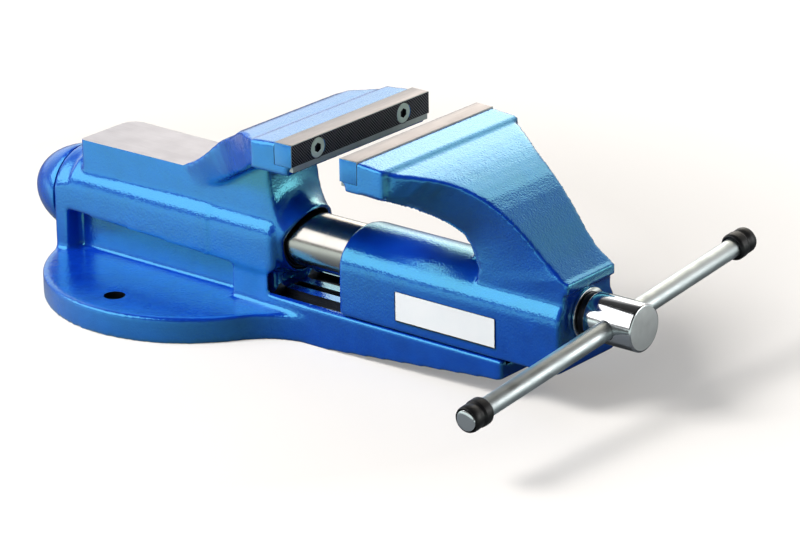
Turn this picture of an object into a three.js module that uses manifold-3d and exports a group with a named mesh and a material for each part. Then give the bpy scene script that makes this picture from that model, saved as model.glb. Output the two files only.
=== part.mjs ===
import * as THREE from 'three';
import { mergeVertices } from 'three/addons/utils/BufferGeometryUtils.js';
import Module from 'manifold-3d';

// Bench vise with parallel jaws, in millimetres.
// X runs forward to the handle, Y runs across the jaws, Z is up.
// The origin is on the underside of the foot, midway between its two bolt holes.

// Heights above the bench
const jawTopHeight = 137;
const anvilHeight = 89.6;
const screwHeight = 54.3;
const tongueTopHeight = 23.8;
const footThickness = 16;
const recessRearHeight = 43;
const recessFrontHeight = 37.5;

// Fixed body
const jawFaceX = 139;
const jawOverhang = 52.5;
const barrelLength = 172;
const barrelHalfWidth = 27;
const barrelRise = 20.6;
const barrelArchHeight = 58;
const collarLength = 46.5;
const collarStep = 0.7;
const noseRadius = 21.8;
const noseLength = 8.5;
const noseRound = 3;
const noseVisor = 10;
const noseFlareRadius = 45;
const collarRound = 5;
const noseBottomHeight = 32.8;
const anvilRearX = -64;
const anvilHalfWidth = 22.3;
const anvilRearHalfWidth = 23.4;
const anvilNearRadius = 1.5;
const anvilFarRadius = 9;
const neckLength = 88.4;
const pillarLength = 11;
const frontWallLength = 29;
const webHalfWidth = 15.2;
const wallInset = 2.5;
const wallFlareLength = 62;
const pocketDepth = 12;
const pocketSideWall = 1.6;
const pocketWidth = 5.4;
const midPocketHalfWidth = 10.3;
const pocketFloorDrop = 3.4;

// Foot and tongue
const lobeRadius = 95;
const lobeCentreX = 3.5;
const lobeCrossing = 6;
const lobeFillet = 45;
const boltHoleRadius = 6.5;
const boltHoleY = 66;
const tongueTipX = 261;
const tongueTipThickness = 11.6;
const tongueFlatX = 134;
const tongueWall = 4.6;
const tongueChannelDepth = 3.4;
const railHalfWidth = 10;
const railGrooveHalfWidth = 3.2;
const railGrooveDepth = 2.4;
const railTopDrop = 0.5;

// Jaw heads and plates
const jawWidth = 125;
const headThickness = 31.6;
const headHeight = 19.5;
const headTopFall = 2.2;
const plateThickness = 13;
const plateHeight = 13.6;
const stripHeight = 3.1;
const stripEndSetback = 1.5;
const lipSetback = 3.2;
const jawOpening = 35.3;
const fanTopDrop = 3.6;
const plateScrewY = 38.8;
const plateScrewDrop = 7.3;
const screwHeadRadius = 6;
const screwHeadDepth = 3.2;
const screwShankRadius = 3.2;
const screwLength = 24;
const socketRadius = 2.9;
const socketDepth = 2.6;

// Moving body
const sliderHalfWidth = 27;
const sliderArchHeight = 53.2;
const sliderArchRise = 20.4;
const sliderRearX = 141.6;
const sliderLength = 159.6;
const sliderEdgeRound = 2;
const sliderWall = 7;
const sliderFrontWall = 12;
const sliderCeiling = 3.2;
const keyThickness = 3.6;
const keyLength = 44;
const fanReach = 96;
const fanRootRise = 5;
const fanRootHalfWidth = 22.5;
const rootWebLength = 64;
const noseRibLength = 14;
const noseRibHalfWidth = 8;
const lipReach = 2.9;
const lipHeight = 7;
const labelLength = 72.3;
const labelHeight = 18;
const labelThickness = 0.8;
const labelFromRear = 42.8;
const labelBottomHeight = 30.8;

// Guide tube, nut and spindle
const tubeRadius = 17;
const tubeWall = 3.5;
const tubeSeat = 58;
const tubeTail = 185.6;
const wiperRadius = 19.4;
const wiperThickness = 4;
const wiperSetback = 1.6;
const nutRadius = 12.8;
const nutLength = 151;
const nutFlangeRadius = 17;
const nutFlangeThickness = 6;
const spindleRadius = 9;
const spindleShankLength = 366;
const spindleHeadRadius = 14;
const spindleHeadLength = 33;
const spindleHeadRound = 0.6;
const thrustRingRadius = 15.4;
const thrustRingThickness = 1.6;
const collarRadius = 13;
const collarThickness = 3.6;
const retainerRadius = 13;
const retainerThickness = 3;
const lockPinRadius = 2.5;
const lockPinFromRear = 22;
const lockPinProud = 2;

// Rear cap
const domeFromAnvil = 8;
const domeRadius = 29.1;
const domeHeight = 48;
const domeLength = 45.5;
const capHubRadius = 6;
const capHollowRadius = 12;
const capHollowDepth = 10;
const capScrewY = 10;
const capScrewDrop = 24.3;
const capScrewShankRadius = 1.9;
const capScrewHeadRadius = 3.4;
const capScrewHeadHeight = 3.6;
const capScrewSeat = 5;
const capScrewLength = 18;
const dowelRadius = 1.5;
const dowelOffset = 14.9;
const dowelLength = 14;

// Handle
const handleRadius = 5.75;
const handleLength = 251;
const handleFromHeadFace = 17.5;
const handleTiltDegrees = 5.6;
const handleOffset = -6.4;
const ringInnerRidge = 8.5;
const ringOuterRidge = 8;
const ringWaistRadius = 7.5;
const ringLength = 15;
const ringOverhang = 6.5;
const buttonRadius = 6.5;
const buttonLength = 7.4;
const buttonRound = 1;

// Clearances and cuts
const runningGap = 0.3;
const seatGap = 0.3;
const slideGap = 0.7;
const overrun = 4;

// Facets
const roundSteps = 48;
const smallSteps = 24;
const arcSteps = 10;
const fanSteps = 14;
const roundRows = 4;
const domeRows = 7;

// Front edges of the fan between a jaw head and its root: along, down and half-width shares
const movingFanOuterShares = [
  [-0.03, 0, 0.99], [0.16, 0.044, 0.665], [0.33, 0.118, 0.4], [0.5, 0.255, 0.235],
  [0.7, 0.525, 0.1], [0.87, 0.83, 0.01], [1, 1, 0.02],
];
const movingFanInnerShares = [
  [-0.228, 0.276, 0.99], [0.01, 0.33, 0.89], [0.085, 0.49, 0.44], [0.168, 0.58, 0.26],
  [0.272, 0.78, 0.01], [0.345, 1.03, 0], [0.386, 1.25, 0],
];
const fixedFanOuterShares = [
  [-0.03, 0, 0.99], [0.22, 0.04, 0.64], [0.406, 0.253, 0.378], [0.596, 0.45, 0.2],
  [0.73, 0.668, 0.14], [0.865, 0.853, 0.067], [1, 1, 0],
];
const fixedFanInnerShares = [
  [-0.222, 0.334, 0.985], [0.05, 0.39, 0.84], [0.265, 0.645, 0.49], [0.457, 0.85, 0.216],
  [0.615, 1.04, 0.09], [0.75, 1.15, 0.02], [0.887, 1.24, 0],
];

// Fall of the flare from the neck's front to the visor's rim: along and down shares
const noseFlareShares = [[0, 0], [0.08, 0.37], [0.18, 0.6], [0.34, 0.79], [0.56, 0.92], [0.78, 0.98], [1, 1]];

// Stations along a rubber ring where its radius changes
const ringStationShares = [0, 0.1, 0.42, 0.54, 0.64, 0.9, 1];

// Places worked out from the sizes above
const bodyFrontX = jawFaceX - jawOverhang;
const barrelRearX = bodyFrontX - barrelLength;
const domeStartX = anvilRearX - domeFromAnvil;
const jawHalfWidth = jawWidth / 2;
const movingFaceX = jawFaceX + jawOpening;
const fixedHeadX = jawFaceX - headThickness;
const movingHeadX = movingFaceX + headThickness;
const fanTopHeight = jawTopHeight - fanTopDrop;
const fanRootHeight = sliderArchHeight + sliderArchRise + fanRootRise;
const sliderFrontX = sliderRearX + sliderLength;
const sliderBottom = tongueTopHeight + slideGap;
const boreRadius = tubeRadius + runningGap;
const sliderCeilingHeight = screwHeight - boreRadius - sliderCeiling;
const noseFrontX = bodyFrontX + noseLength;
const dowelFrontX = barrelRearX + nutFlangeThickness - seatGap;
const dowelHeight = screwHeight - dowelOffset;
const capScrewHeight = screwHeight - capScrewDrop;
const thrustRingX = sliderFrontX + runningGap;
const collarX = thrustRingX + thrustRingThickness + seatGap;
const spindleHeadX = collarX + collarThickness + seatGap;
const spindleFrontX = spindleHeadX + spindleHeadLength;
const handleX = spindleFrontX - handleFromHeadFace;

const wasm = await Module();
wasm.setup();

const axisX = new THREE.Vector3(1, 0, 0);
const axisY = new THREE.Vector3(0, 1, 0);
const axisZ = new THREE.Vector3(0, 0, 1);

// Closed geometry to a solid: shared vertices are merged, flat triangles dropped, faces turned outwards
function solidOf(geometry) {
  const bare = geometry.clone();
  bare.deleteAttribute('normal');
  bare.deleteAttribute('uv');
  const merged = mergeVertices(bare);
  const place = merged.getAttribute('position').array;
  const index = merged.getIndex().array;
  const triangles = [];
  let volume = 0;
  for (let i = 0; i < index.length; i += 3) {
    const [a, b, c] = [index[i], index[i + 1], index[i + 2]];
    if (a === b || b === c || c === a) continue;
    triangles.push(a, b, c);
    const [p, q, r] = [a, b, c].map((k) => new THREE.Vector3().fromArray(place, 3 * k));
    volume += p.dot(q.cross(r));
  }
  if (volume < 0) triangles.reverse();
  const mesh = new wasm.Mesh({
    numProp: 3,
    vertProperties: Float32Array.from(place),
    triVerts: Uint32Array.from(triangles),
  });
  return new wasm.Manifold(mesh);
}

function union(solids) {
  return solids.reduce((whole, next) => whole.add(next));
}

function cut(solid, tools) {
  return tools.reduce((left, tool) => left.subtract(tool), solid);
}

function geometryOf(solid) {
  const mesh = solid.getMesh();
  const geometry = new THREE.BufferGeometry();
  geometry.setAttribute('position', new THREE.BufferAttribute(Float32Array.from(mesh.vertProperties), 3));
  geometry.setIndex(Array.from(mesh.triVerts));
  geometry.computeVertexNormals();
  return geometry;
}

function block(x, y, z) {
  const geometry = new THREE.BoxGeometry(x[1] - x[0], y[1] - y[0], z[1] - z[0]);
  geometry.translate((x[0] + x[1]) / 2, (y[0] + y[1]) / 2, (z[0] + z[1]) / 2);
  return solidOf(geometry);
}

function outline(points) {
  return new THREE.Shape(points.map(([u, v]) => new THREE.Vector2(u, v)));
}

// Prism of an outline drawn in X and Z, centred on the symmetry plane
function prismAcross(shape, halfWidth) {
  const geometry = new THREE.ExtrudeGeometry(shape, {
    depth: 2 * halfWidth, bevelEnabled: false, curveSegments: arcSteps,
  });
  const turn = new THREE.Matrix4().makeBasis(axisX, axisZ, axisY.clone().negate());
  geometry.applyMatrix4(turn);
  geometry.translate(0, halfWidth, 0);
  return solidOf(geometry);
}

// Prism of an outline drawn in Y and Z, with its end edges rounded
function prismForward(shape, fromX, toX, round = 0) {
  const geometry = new THREE.ExtrudeGeometry(shape, {
    depth: toX - fromX - 2 * round,
    bevelEnabled: round > 0,
    bevelThickness: round,
    bevelSize: round,
    bevelOffset: -round,
    bevelSegments: 4,
    curveSegments: arcSteps,
  });
  geometry.applyMatrix4(new THREE.Matrix4().makeBasis(axisY, axisZ, axisX));
  geometry.translate(fromX + round, 0, 0);
  return solidOf(geometry);
}

// Prism of an outline drawn in X and Y
function prismUp(shape, fromZ, toZ) {
  const geometry = new THREE.ExtrudeGeometry(shape, {
    depth: toZ - fromZ, bevelEnabled: false, curveSegments: 2 * arcSteps,
  });
  geometry.translate(0, 0, fromZ);
  return solidOf(geometry);
}

// Turned solid about an axis along X: the profile is a list of [x, radius]
function turned(profile, y, z, steps = roundSteps) {
  const points = profile.map(([x, radius]) => new THREE.Vector2(radius, x));
  const geometry = new THREE.LatheGeometry(points, steps);
  geometry.applyMatrix4(new THREE.Matrix4().makeBasis(axisY, axisX, axisZ));
  geometry.translate(0, y, z);
  return solidOf(geometry);
}

function rod(radius, fromX, toX, y = 0, z = screwHeight, steps = roundSteps) {
  return turned([[fromX, 0], [fromX, radius], [toX, radius], [toX, 0]], y, z, steps);
}

function pipe(radius, innerRadius, fromX, toX, y = 0, z = screwHeight) {
  const profile = [
    [fromX, innerRadius], [fromX, radius], [toX, radius], [toX, innerRadius], [fromX, innerRadius],
  ];
  return turned(profile, y, z);
}

function upright(radius, x, y, fromZ, toZ, steps = smallSteps) {
  const geometry = new THREE.CylinderGeometry(radius, radius, toZ - fromZ, steps);
  geometry.rotateX(Math.PI / 2);
  geometry.translate(x, y, (fromZ + toZ) / 2);
  return solidOf(geometry);
}

// Arch over straight sides, drawn in Y and Z
function archShape(halfWidth, archHeight, rise, bottom) {
  const shape = new THREE.Shape();
  shape.moveTo(-halfWidth, bottom);
  shape.lineTo(halfWidth, bottom);
  shape.lineTo(halfWidth, archHeight);
  shape.absellipse(0, archHeight, halfWidth, rise, 0, Math.PI, false);
  shape.lineTo(-halfWidth, bottom);
  return shape;
}

// Curve through rows of shares, each row giving a point's x, half-width and height
function fanCurve(shares, place) {
  const rows = shares.map(([along, down, wide]) => new THREE.Vector3(
    place.headX + place.forward * place.reach * along,
    place.rootHalfWidth + (jawHalfWidth - place.rootHalfWidth) * wide,
    fanTopHeight - place.fall * down,
  ));
  return new THREE.CatmullRomCurve3(rows, false, 'centripetal').getPoints(fanSteps);
}

// Solid through rings of points, with its two ends closed
function loft(rings) {
  const count = rings[0].length;
  const vertices = rings.flat().flatMap((point) => [point.x, point.y, point.z]);
  const index = [];
  for (let i = 0; i + 1 < rings.length; i += 1) {
    for (let k = 0; k < count; k += 1) {
      const a = i * count + k;
      const b = i * count + ((k + 1) % count);
      index.push(a, b, a + count, b, b + count, a + count);
    }
  }
  const last = (rings.length - 1) * count;
  for (let k = 1; k + 1 < count; k += 1) {
    index.push(0, k + 1, k);
    index.push(last, last + k, last + k + 1);
  }
  const geometry = new THREE.BufferGeometry();
  geometry.setAttribute('position', new THREE.BufferAttribute(new Float32Array(vertices), 3));
  geometry.setIndex(index);
  return solidOf(geometry);
}

function fan(outerShares, innerShares, place) {
  const outer = fanCurve(outerShares, place);
  const inner = fanCurve(innerShares, place);
  return loft(outer.map((edge, i) => {
    const back = inner[i];
    return [
      new THREE.Vector3(edge.x, -edge.y, edge.z),
      new THREE.Vector3(edge.x, edge.y, edge.z),
      new THREE.Vector3(back.x, back.y, back.z),
      new THREE.Vector3(back.x, -back.y, back.z),
    ];
  }));
}

const fixedFan = {
  headX: fixedHeadX,
  forward: -1,
  reach: neckLength,
  fall: fanTopHeight - anvilHeight,
  rootHalfWidth: anvilHalfWidth,
};
const movingFan = {
  headX: movingHeadX,
  forward: 1,
  reach: fanReach,
  fall: fanTopHeight - fanRootHeight,
  rootHalfWidth: fanRootHalfWidth,
};

// Jaw head with the step that seats its plate; side is +1 where the plate faces forward
function jawHead(faceX, side) {
  const seatX = faceX - side * plateThickness;
  const lipX = faceX - side * lipSetback;
  const backX = faceX - side * headThickness;
  const seatHeight = jawTopHeight - plateHeight;
  const bottom = jawTopHeight - headHeight;
  const seatTop = jawTopHeight - headTopFall / 3;
  return prismAcross(outline([
    [backX, bottom], [lipX, bottom], [lipX, seatHeight], [seatX, seatHeight],
    [seatX, seatTop], [backX, jawTopHeight - headTopFall],
  ]), jawHalfWidth);
}

// Countersunk plate screw; grow opens its hole
function plateScrew(faceX, side, y, grow = 0) {
  const headX = faceX - side * screwHeadDepth;
  const endX = faceX - side * (screwLength + grow);
  const openX = faceX + side * grow * overrun;
  const profile = [
    [openX, 0], [openX, screwHeadRadius + grow], [faceX, screwHeadRadius + grow],
    [headX, screwShankRadius + grow], [endX, screwShankRadius + grow], [endX, 0],
  ];
  return turned(profile, y, jawTopHeight - plateScrewDrop, smallSteps);
}

function plateScrewHoles(faceX, side) {
  return [-1, 1].map((hand) => plateScrew(faceX, side, hand * plateScrewY, seatGap));
}

function hexSocket(faceX, side, y) {
  const ends = [faceX - side * socketDepth, faceX + side * overrun];
  return rod(socketRadius, Math.min(...ends), Math.max(...ends), y, jawTopHeight - plateScrewDrop, 6);
}

// Jaw plate, with a plain strip that hangs in front of the head's lip
function jawPlate(faceX, side) {
  const backX = faceX - side * plateThickness;
  const stripX = faceX - side * (lipSetback - seatGap);
  const stripHalf = jawHalfWidth - stripEndSetback;
  const bottom = jawTopHeight - plateHeight;
  const whole = union([
    block(
      [Math.min(faceX, backX), Math.max(faceX, backX)], [-jawHalfWidth, jawHalfWidth], [bottom, jawTopHeight],
    ),
    block(
      [Math.min(faceX, stripX), Math.max(faceX, stripX)], [-stripHalf, stripHalf],
      [bottom - stripHeight, bottom + stripHeight],
    ),
  ]);
  return cut(whole, plateScrewHoles(faceX, side));
}

// Foot outline: two lobes whose circles run on into the sides of the tongue through concave fillets
function footShape() {
  const side = barrelHalfWidth;
  const reach = side + lobeCrossing;
  const rearX = lobeCentreX - Math.sqrt(lobeRadius ** 2 - reach ** 2);
  const filletX = lobeCentreX + Math.sqrt((lobeRadius + lobeFillet) ** 2 - (reach + lobeFillet) ** 2);
  const rearAngle = Math.atan2(-reach, rearX - lobeCentreX);
  const touchAngle = Math.atan2(-(reach + lobeFillet), filletX - lobeCentreX);
  const shape = new THREE.Shape();
  shape.moveTo(rearX, -side);
  shape.absarc(lobeCentreX, lobeCrossing, lobeRadius, rearAngle, touchAngle, false);
  shape.absarc(filletX, -side - lobeFillet, lobeFillet, Math.PI + touchAngle, Math.PI / 2, true);
  shape.lineTo(filletX, side);
  shape.absarc(filletX, side + lobeFillet, lobeFillet, -Math.PI / 2, -Math.PI - touchAngle, true);
  shape.absarc(lobeCentreX, -lobeCrossing, lobeRadius, -touchAngle, -rearAngle, false);
  shape.lineTo(rearX, -side);
  return shape;
}

function tongue() {
  const rearX = bodyFrontX - frontWallLength;
  const flareX = rearX + wallFlareLength;
  const rearHalf = barrelHalfWidth - wallInset;
  const plan = prismUp(outline([
    [rearX, -rearHalf], [flareX, -barrelHalfWidth], [tongueTipX, -barrelHalfWidth],
    [tongueTipX, barrelHalfWidth], [flareX, barrelHalfWidth], [rearX, rearHalf],
  ]), 0, tongueTopHeight);
  const side = prismAcross(outline([
    [rearX - overrun, 0], [tongueFlatX, 0], [tongueTipX + overrun, tongueTopHeight - tongueTipThickness],
    [tongueTipX + overrun, tongueTopHeight + overrun], [rearX - overrun, tongueTopHeight + overrun],
  ]), barrelHalfWidth + overrun);
  return plan.intersect(side);
}

// Channel along the top of the tongue, which leaves the guide rail standing
function tongueChannels() {
  const x = [bodyFrontX, tongueTipX + overrun];
  const floor = tongueTopHeight - tongueChannelDepth;
  const inner = barrelHalfWidth - tongueWall;
  const top = tongueTopHeight + overrun;
  const railTop = tongueTopHeight - railTopDrop;
  return [
    block(x, [-inner, -railHalfWidth], [floor, top]),
    block(x, [railHalfWidth, inner], [floor, top]),
    block(x, [-railHalfWidth - seatGap, railHalfWidth + seatGap], [railTop, top]),
    block(x, [-railGrooveHalfWidth, railGrooveHalfWidth], [railTop - railGrooveDepth, top]),
  ];
}

function anvilBlock() {
  const frontX = fixedHeadX - neckLength;
  const rearHalf = anvilRearHalfWidth;
  const far = anvilFarRadius;
  const near = anvilNearRadius;
  const shape = new THREE.Shape();
  shape.moveTo(frontX, -anvilHalfWidth);
  shape.lineTo(frontX, anvilHalfWidth);
  shape.lineTo(anvilRearX + far, rearHalf);
  shape.absarc(anvilRearX + far, rearHalf - far, far, Math.PI / 2, Math.PI, false);
  shape.absarc(anvilRearX + near, near - rearHalf, near, Math.PI, 3 * Math.PI / 2, false);
  shape.lineTo(frontX, -anvilHalfWidth);
  return prismUp(shape, barrelArchHeight, anvilHeight);
}

// Solid core of the neck under the fan, from the anvil to the front face
function neckCore() {
  const outer = fanCurve(fixedFanOuterShares, fixedFan);
  const top = outer.map((point) => [point.x, point.z]);
  const rootX = fixedHeadX - neckLength;
  const underHead = jawTopHeight - headHeight;
  return prismAcross(outline([
    ...top, [rootX, barrelArchHeight], [bodyFrontX, barrelArchHeight],
    [bodyFrontX, underHead - collarRound], [bodyFrontX + collarRound, underHead],
  ]), anvilHalfWidth);
}

// Rounded rim of a turned end, from the side to the end face; facing is +1 or -1 along X
function quarterRound(endX, radius, facing, round) {
  return Array.from({ length: roundRows + 1 }, (_, i) => {
    const angle = (i / roundRows) * Math.PI / 2;
    return [
      endX - facing * round * (1 - Math.sin(angle)),
      radius - round * (1 - Math.cos(angle)),
    ];
  });
}

// Round nose of the bore; above the axis its mouth leans forward as a visor over the tube
function nose() {
  const rearX = bodyFrontX - overrun;
  const rim = quarterRound(noseFrontX, noseRadius, 1, noseRound);
  const ring = turned([[rearX, 0], [rearX, noseRadius], ...rim, [noseFrontX, 0]], 0, screwHeight);
  const visorX = noseFrontX + noseVisor;
  const fall = noseFlareRadius - noseRadius;
  const flare = noseFlareShares.map(([along, down]) => [
    bodyFrontX + (visorX - bodyFrontX) * along, noseFlareRadius - fall * down,
  ]);
  const top = screwHeight + noseRadius;
  const side = prismAcross(outline([
    [rearX, barrelArchHeight], [noseFrontX, barrelArchHeight], [visorX, top],
    [visorX, screwHeight + noseFlareRadius], [rearX, screwHeight + noseFlareRadius],
  ]), anvilHalfWidth);
  const visor = turned([[rearX, 0], [rearX, noseFlareRadius], ...flare, [visorX, 0]], 0, screwHeight);
  return union([ring, visor.intersect(side)]);
}

function capScrewHoles() {
  const fromX = barrelRearX - overrun;
  const toX = barrelRearX + capScrewLength;
  return [-1, 1].map((hand) => rod(
    capScrewShankRadius + seatGap, fromX, toX, hand * capScrewY, capScrewHeight, smallSteps,
  ));
}

function frontWallHalfWidth() {
  return barrelHalfWidth - wallInset + wallInset * frontWallLength / wallFlareLength;
}

// Pockets under the bore, with a rib left standing on each side of the middle one
function frontPockets() {
  const x = [bodyFrontX - pocketDepth, bodyFrontX + overrun];
  const floor = tongueTopHeight - pocketFloorDrop;
  const side = frontWallHalfWidth() - pocketSideWall;
  const z = [floor, recessFrontHeight];
  return [
    block(x, [-side, -side + pocketWidth], z),
    block(x, [side - pocketWidth, side], z),
    block(x, [-midPocketHalfWidth, midPocketHalfWidth], [floor, noseBottomHeight]),
    block(
      [bodyFrontX, noseFrontX + overrun], [-barrelHalfWidth, barrelHalfWidth],
      [tongueTopHeight, noseBottomHeight],
    ),
  ];
}

// Dome that rounds off the barrel behind the anvil, and runs on over the cap
function rearDome() {
  const rows = Array.from({ length: domeRows + 1 }, (_, i) => {
    const x = barrelRearX + (domeStartX - barrelRearX) * (i / domeRows);
    return [x, domeRadiusAt(x)];
  });
  return turned([[barrelRearX, 0], ...rows, [domeStartX, 0]], 0, domeHeight);
}

// Sloping ceiling of the two side recesses, on each side of the web
function recessCeiling() {
  const x = [barrelRearX + pillarLength, bodyFrontX - frontWallLength];
  const bottom = recessFrontHeight - overrun;
  const wedge = prismAcross(outline([
    [x[0], bottom], [x[1], bottom], [x[1], recessFrontHeight], [x[0], recessRearHeight],
  ]), barrelHalfWidth + overrun);
  const web = block([x[0] - overrun, x[1] + overrun], [-webHalfWidth, webHalfWidth], [0, barrelArchHeight]);
  return wedge.subtract(web);
}

function fixedBody() {
  const stepX = bodyFrontX - collarLength;
  const wallX = bodyFrontX - frontWallLength;
  const rearBarrel = archShape(barrelHalfWidth, barrelArchHeight, barrelRise, recessFrontHeight);
  const collarHalf = barrelHalfWidth - collarStep;
  const collar = archShape(collarHalf, barrelArchHeight, barrelRise, recessFrontHeight);
  const wallHalf = barrelHalfWidth - wallInset;
  const frontHalf = frontWallHalfWidth();
  const whole = union([
    prismUp(footShape(), 0, footThickness),
    tongue(),
    prismForward(rearBarrel, domeStartX, stepX),
    prismForward(rearBarrel, barrelRearX, domeStartX).intersect(rearDome()),
    prismForward(collar, stepX - 2 * collarRound, bodyFrontX + collarRound, collarRound),
    block([barrelRearX, bodyFrontX], [-webHalfWidth, webHalfWidth], [0, barrelArchHeight]),
    block([barrelRearX, barrelRearX + pillarLength], [-barrelHalfWidth, barrelHalfWidth], [0, domeHeight]),
    prismUp(outline([
      [wallX, -wallHalf], [bodyFrontX, -frontHalf], [bodyFrontX, frontHalf], [wallX, wallHalf],
    ]), 0, barrelArchHeight),
    nose(),
    anvilBlock(),
    neckCore(),
    fan(fixedFanOuterShares, fixedFanInnerShares, fixedFan),
    jawHead(jawFaceX, 1),
  ]);
  const counterboreX = noseFrontX - wiperSetback - wiperThickness - seatGap;
  return cut(whole, [
    recessCeiling(),
    rod(boreRadius, barrelRearX - overrun, noseFrontX + overrun),
    rod(wiperRadius + seatGap, counterboreX, noseFrontX + noseVisor + overrun),
    rod(nutFlangeRadius + seatGap, barrelRearX - overrun, barrelRearX + nutFlangeThickness + seatGap),
    ...capScrewHoles(),
    ...[-1, 1].map((hand) => upright(
      boltHoleRadius, 0, hand * boltHoleY, -overrun, footThickness + overrun, roundSteps / 2,
    )),
    ...frontPockets(),
    ...tongueChannels(),
    ...plateScrewHoles(jawFaceX, 1),
  ]);
}

function movingBody() {
  const arch = archShape(sliderHalfWidth, sliderArchHeight, sliderArchRise, sliderBottom);
  const archTop = sliderArchHeight + sliderArchRise;
  const webX = sliderFrontX - rootWebLength + lipReach;
  const ribTop = (fanTopHeight + fanRootHeight) / 2;
  const whole = union([
    prismForward(arch, sliderRearX, sliderFrontX, sliderEdgeRound),
    block([webX, sliderFrontX], [-fanRootHalfWidth, fanRootHalfWidth], [sliderArchHeight, fanRootHeight]),
    block(
      [sliderFrontX - lipReach, sliderFrontX + lipReach],
      [-fanRootHalfWidth, fanRootHalfWidth],
      [fanRootHeight - lipHeight, fanRootHeight],
    ),
    prismAcross(outline([
      [webX - noseRibLength, archTop - sliderWall], [webX + overrun, archTop - sliderWall],
      [webX + overrun, ribTop - noseRibLength], [webX - noseRibLength, ribTop],
    ]), noseRibHalfWidth),
    fan(movingFanOuterShares, movingFanInnerShares, movingFan),
    jawHead(movingFaceX, -1),
  ]);
  const x = [sliderRearX + sliderWall, sliderFrontX - sliderFrontWall];
  const side = sliderHalfWidth - sliderWall;
  const hollow = cut(whole, [
    block(x, [-side, side], [sliderBottom - overrun, sliderCeilingHeight]),
    rod(tubeRadius + seatGap, sliderRearX - overrun, sliderRearX + tubeSeat + seatGap),
    rod(retainerRadius + 2 * seatGap, sliderRearX, sliderFrontX - sliderFrontWall),
    rod(spindleRadius + runningGap, sliderRearX, sliderFrontX + 2 * overrun),
    ...plateScrewHoles(movingFaceX, -1),
    upright(
      lockPinRadius + seatGap, sliderRearX + lockPinFromRear, 0, sliderBottom - overrun, screwHeight,
    ),
  ]);
  const keyX = [sliderRearX + sliderWall - overrun, sliderRearX + sliderWall + keyLength];
  const keyY = railHalfWidth + runningGap + seatGap;
  const keyZ = [tongueTopHeight - tongueChannelDepth + slideGap, sliderCeilingHeight + sliderCeiling / 2];
  return union([
    hollow,
    block(keyX, [-keyY - keyThickness, -keyY], keyZ),
    block(keyX, [keyY, keyY + keyThickness], keyZ),
  ]);
}

function guideTube() {
  const tube = pipe(tubeRadius, tubeRadius - tubeWall, sliderRearX - tubeTail, sliderRearX + tubeSeat);
  const hole = upright(
    lockPinRadius + seatGap, sliderRearX + lockPinFromRear, 0, sliderCeilingHeight, screwHeight,
  );
  return cut(tube, [hole]);
}

function lockPin() {
  const top = screwHeight - tubeRadius + tubeWall - seatGap;
  return upright(lockPinRadius, sliderRearX + lockPinFromRear, 0, sliderCeilingHeight - lockPinProud, top);
}

function spindleNut() {
  const sleeve = pipe(nutRadius, spindleRadius + runningGap, barrelRearX, barrelRearX + nutLength);
  const flange = pipe(
    nutFlangeRadius, spindleRadius + runningGap, barrelRearX + seatGap, barrelRearX + nutFlangeThickness,
  );
  const dowelHole = rod(
    dowelRadius + seatGap, barrelRearX - overrun, barrelRearX + overrun + nutFlangeThickness,
    0, dowelHeight, smallSteps,
  );
  return cut(union([sleeve, flange]), [dowelHole]);
}

function nutDowel() {
  return rod(dowelRadius, dowelFrontX - dowelLength, dowelFrontX, 0, dowelHeight, smallSteps);
}

function domeRadiusAt(x) {
  return domeRadius * Math.sqrt(1 - ((domeStartX - x) / domeLength) ** 2);
}

function rearCap() {
  const seamX = barrelRearX - seatGap;
  const rearX = domeStartX - domeLength * Math.sqrt(1 - (capHubRadius / domeRadius) ** 2);
  const rim = Array.from({ length: domeRows + 1 }, (_, i) => {
    const x = seamX + (rearX - seamX) * Math.sin((i / domeRows) * Math.PI / 2);
    return [x, domeRadiusAt(x)];
  });
  const profile = [[rearX, 0], ...rim.reverse(), [seamX, 0]];
  const whole = turned(profile, 0, domeHeight);
  const seatX = barrelRearX - capScrewSeat;
  return cut(whole, [
    rod(capHollowRadius, barrelRearX - capHollowDepth, barrelRearX + overrun),
    rod(
      dowelRadius + seatGap, dowelFrontX - dowelLength - seatGap, barrelRearX + overrun,
      0, dowelHeight, smallSteps,
    ),
    ...[-1, 1].flatMap((hand) => [
      rod(
        capScrewShankRadius + seatGap, barrelRearX - domeLength, barrelRearX + overrun,
        hand * capScrewY, capScrewHeight, smallSteps,
      ),
      rod(
        capScrewHeadRadius + seatGap, barrelRearX - domeLength, seatX,
        hand * capScrewY, capScrewHeight, smallSteps,
      ),
    ]),
  ]);
}

function capScrew(hand) {
  const seatX = barrelRearX - capScrewSeat - seatGap;
  const headX = seatX - capScrewHeadHeight;
  const profile = [
    [headX, 0], [headX, capScrewHeadRadius], [seatX, capScrewHeadRadius], [seatX, capScrewShankRadius],
    [headX + capScrewLength, capScrewShankRadius], [headX + capScrewLength, 0],
  ];
  const y = hand * capScrewY;
  const socketX = headX + capScrewHeadHeight / 2;
  const socket = rod(capScrewHeadRadius / 2, headX - overrun, socketX, y, capScrewHeight, 6);
  return cut(turned(profile, y, capScrewHeight, smallSteps), [socket]);
}

function spindle() {
  const round = spindleHeadRound;
  const tailX = spindleHeadX - spindleShankLength;
  const profile = [
    [tailX, 0], [tailX, spindleRadius - round], [tailX + round, spindleRadius],
    [spindleHeadX, spindleRadius],
    [spindleHeadX, spindleHeadRadius - round], [spindleHeadX + round, spindleHeadRadius],
    [spindleFrontX - round, spindleHeadRadius], [spindleFrontX, spindleHeadRadius - round],
    [spindleFrontX, 0],
  ];
  const hole = handlePlaced(new THREE.CylinderGeometry(
    handleRadius + runningGap, handleRadius + runningGap, 4 * spindleHeadRadius, roundSteps / 2,
  ), 0);
  return cut(turned(profile, 0, screwHeight), [hole]);
}

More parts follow.
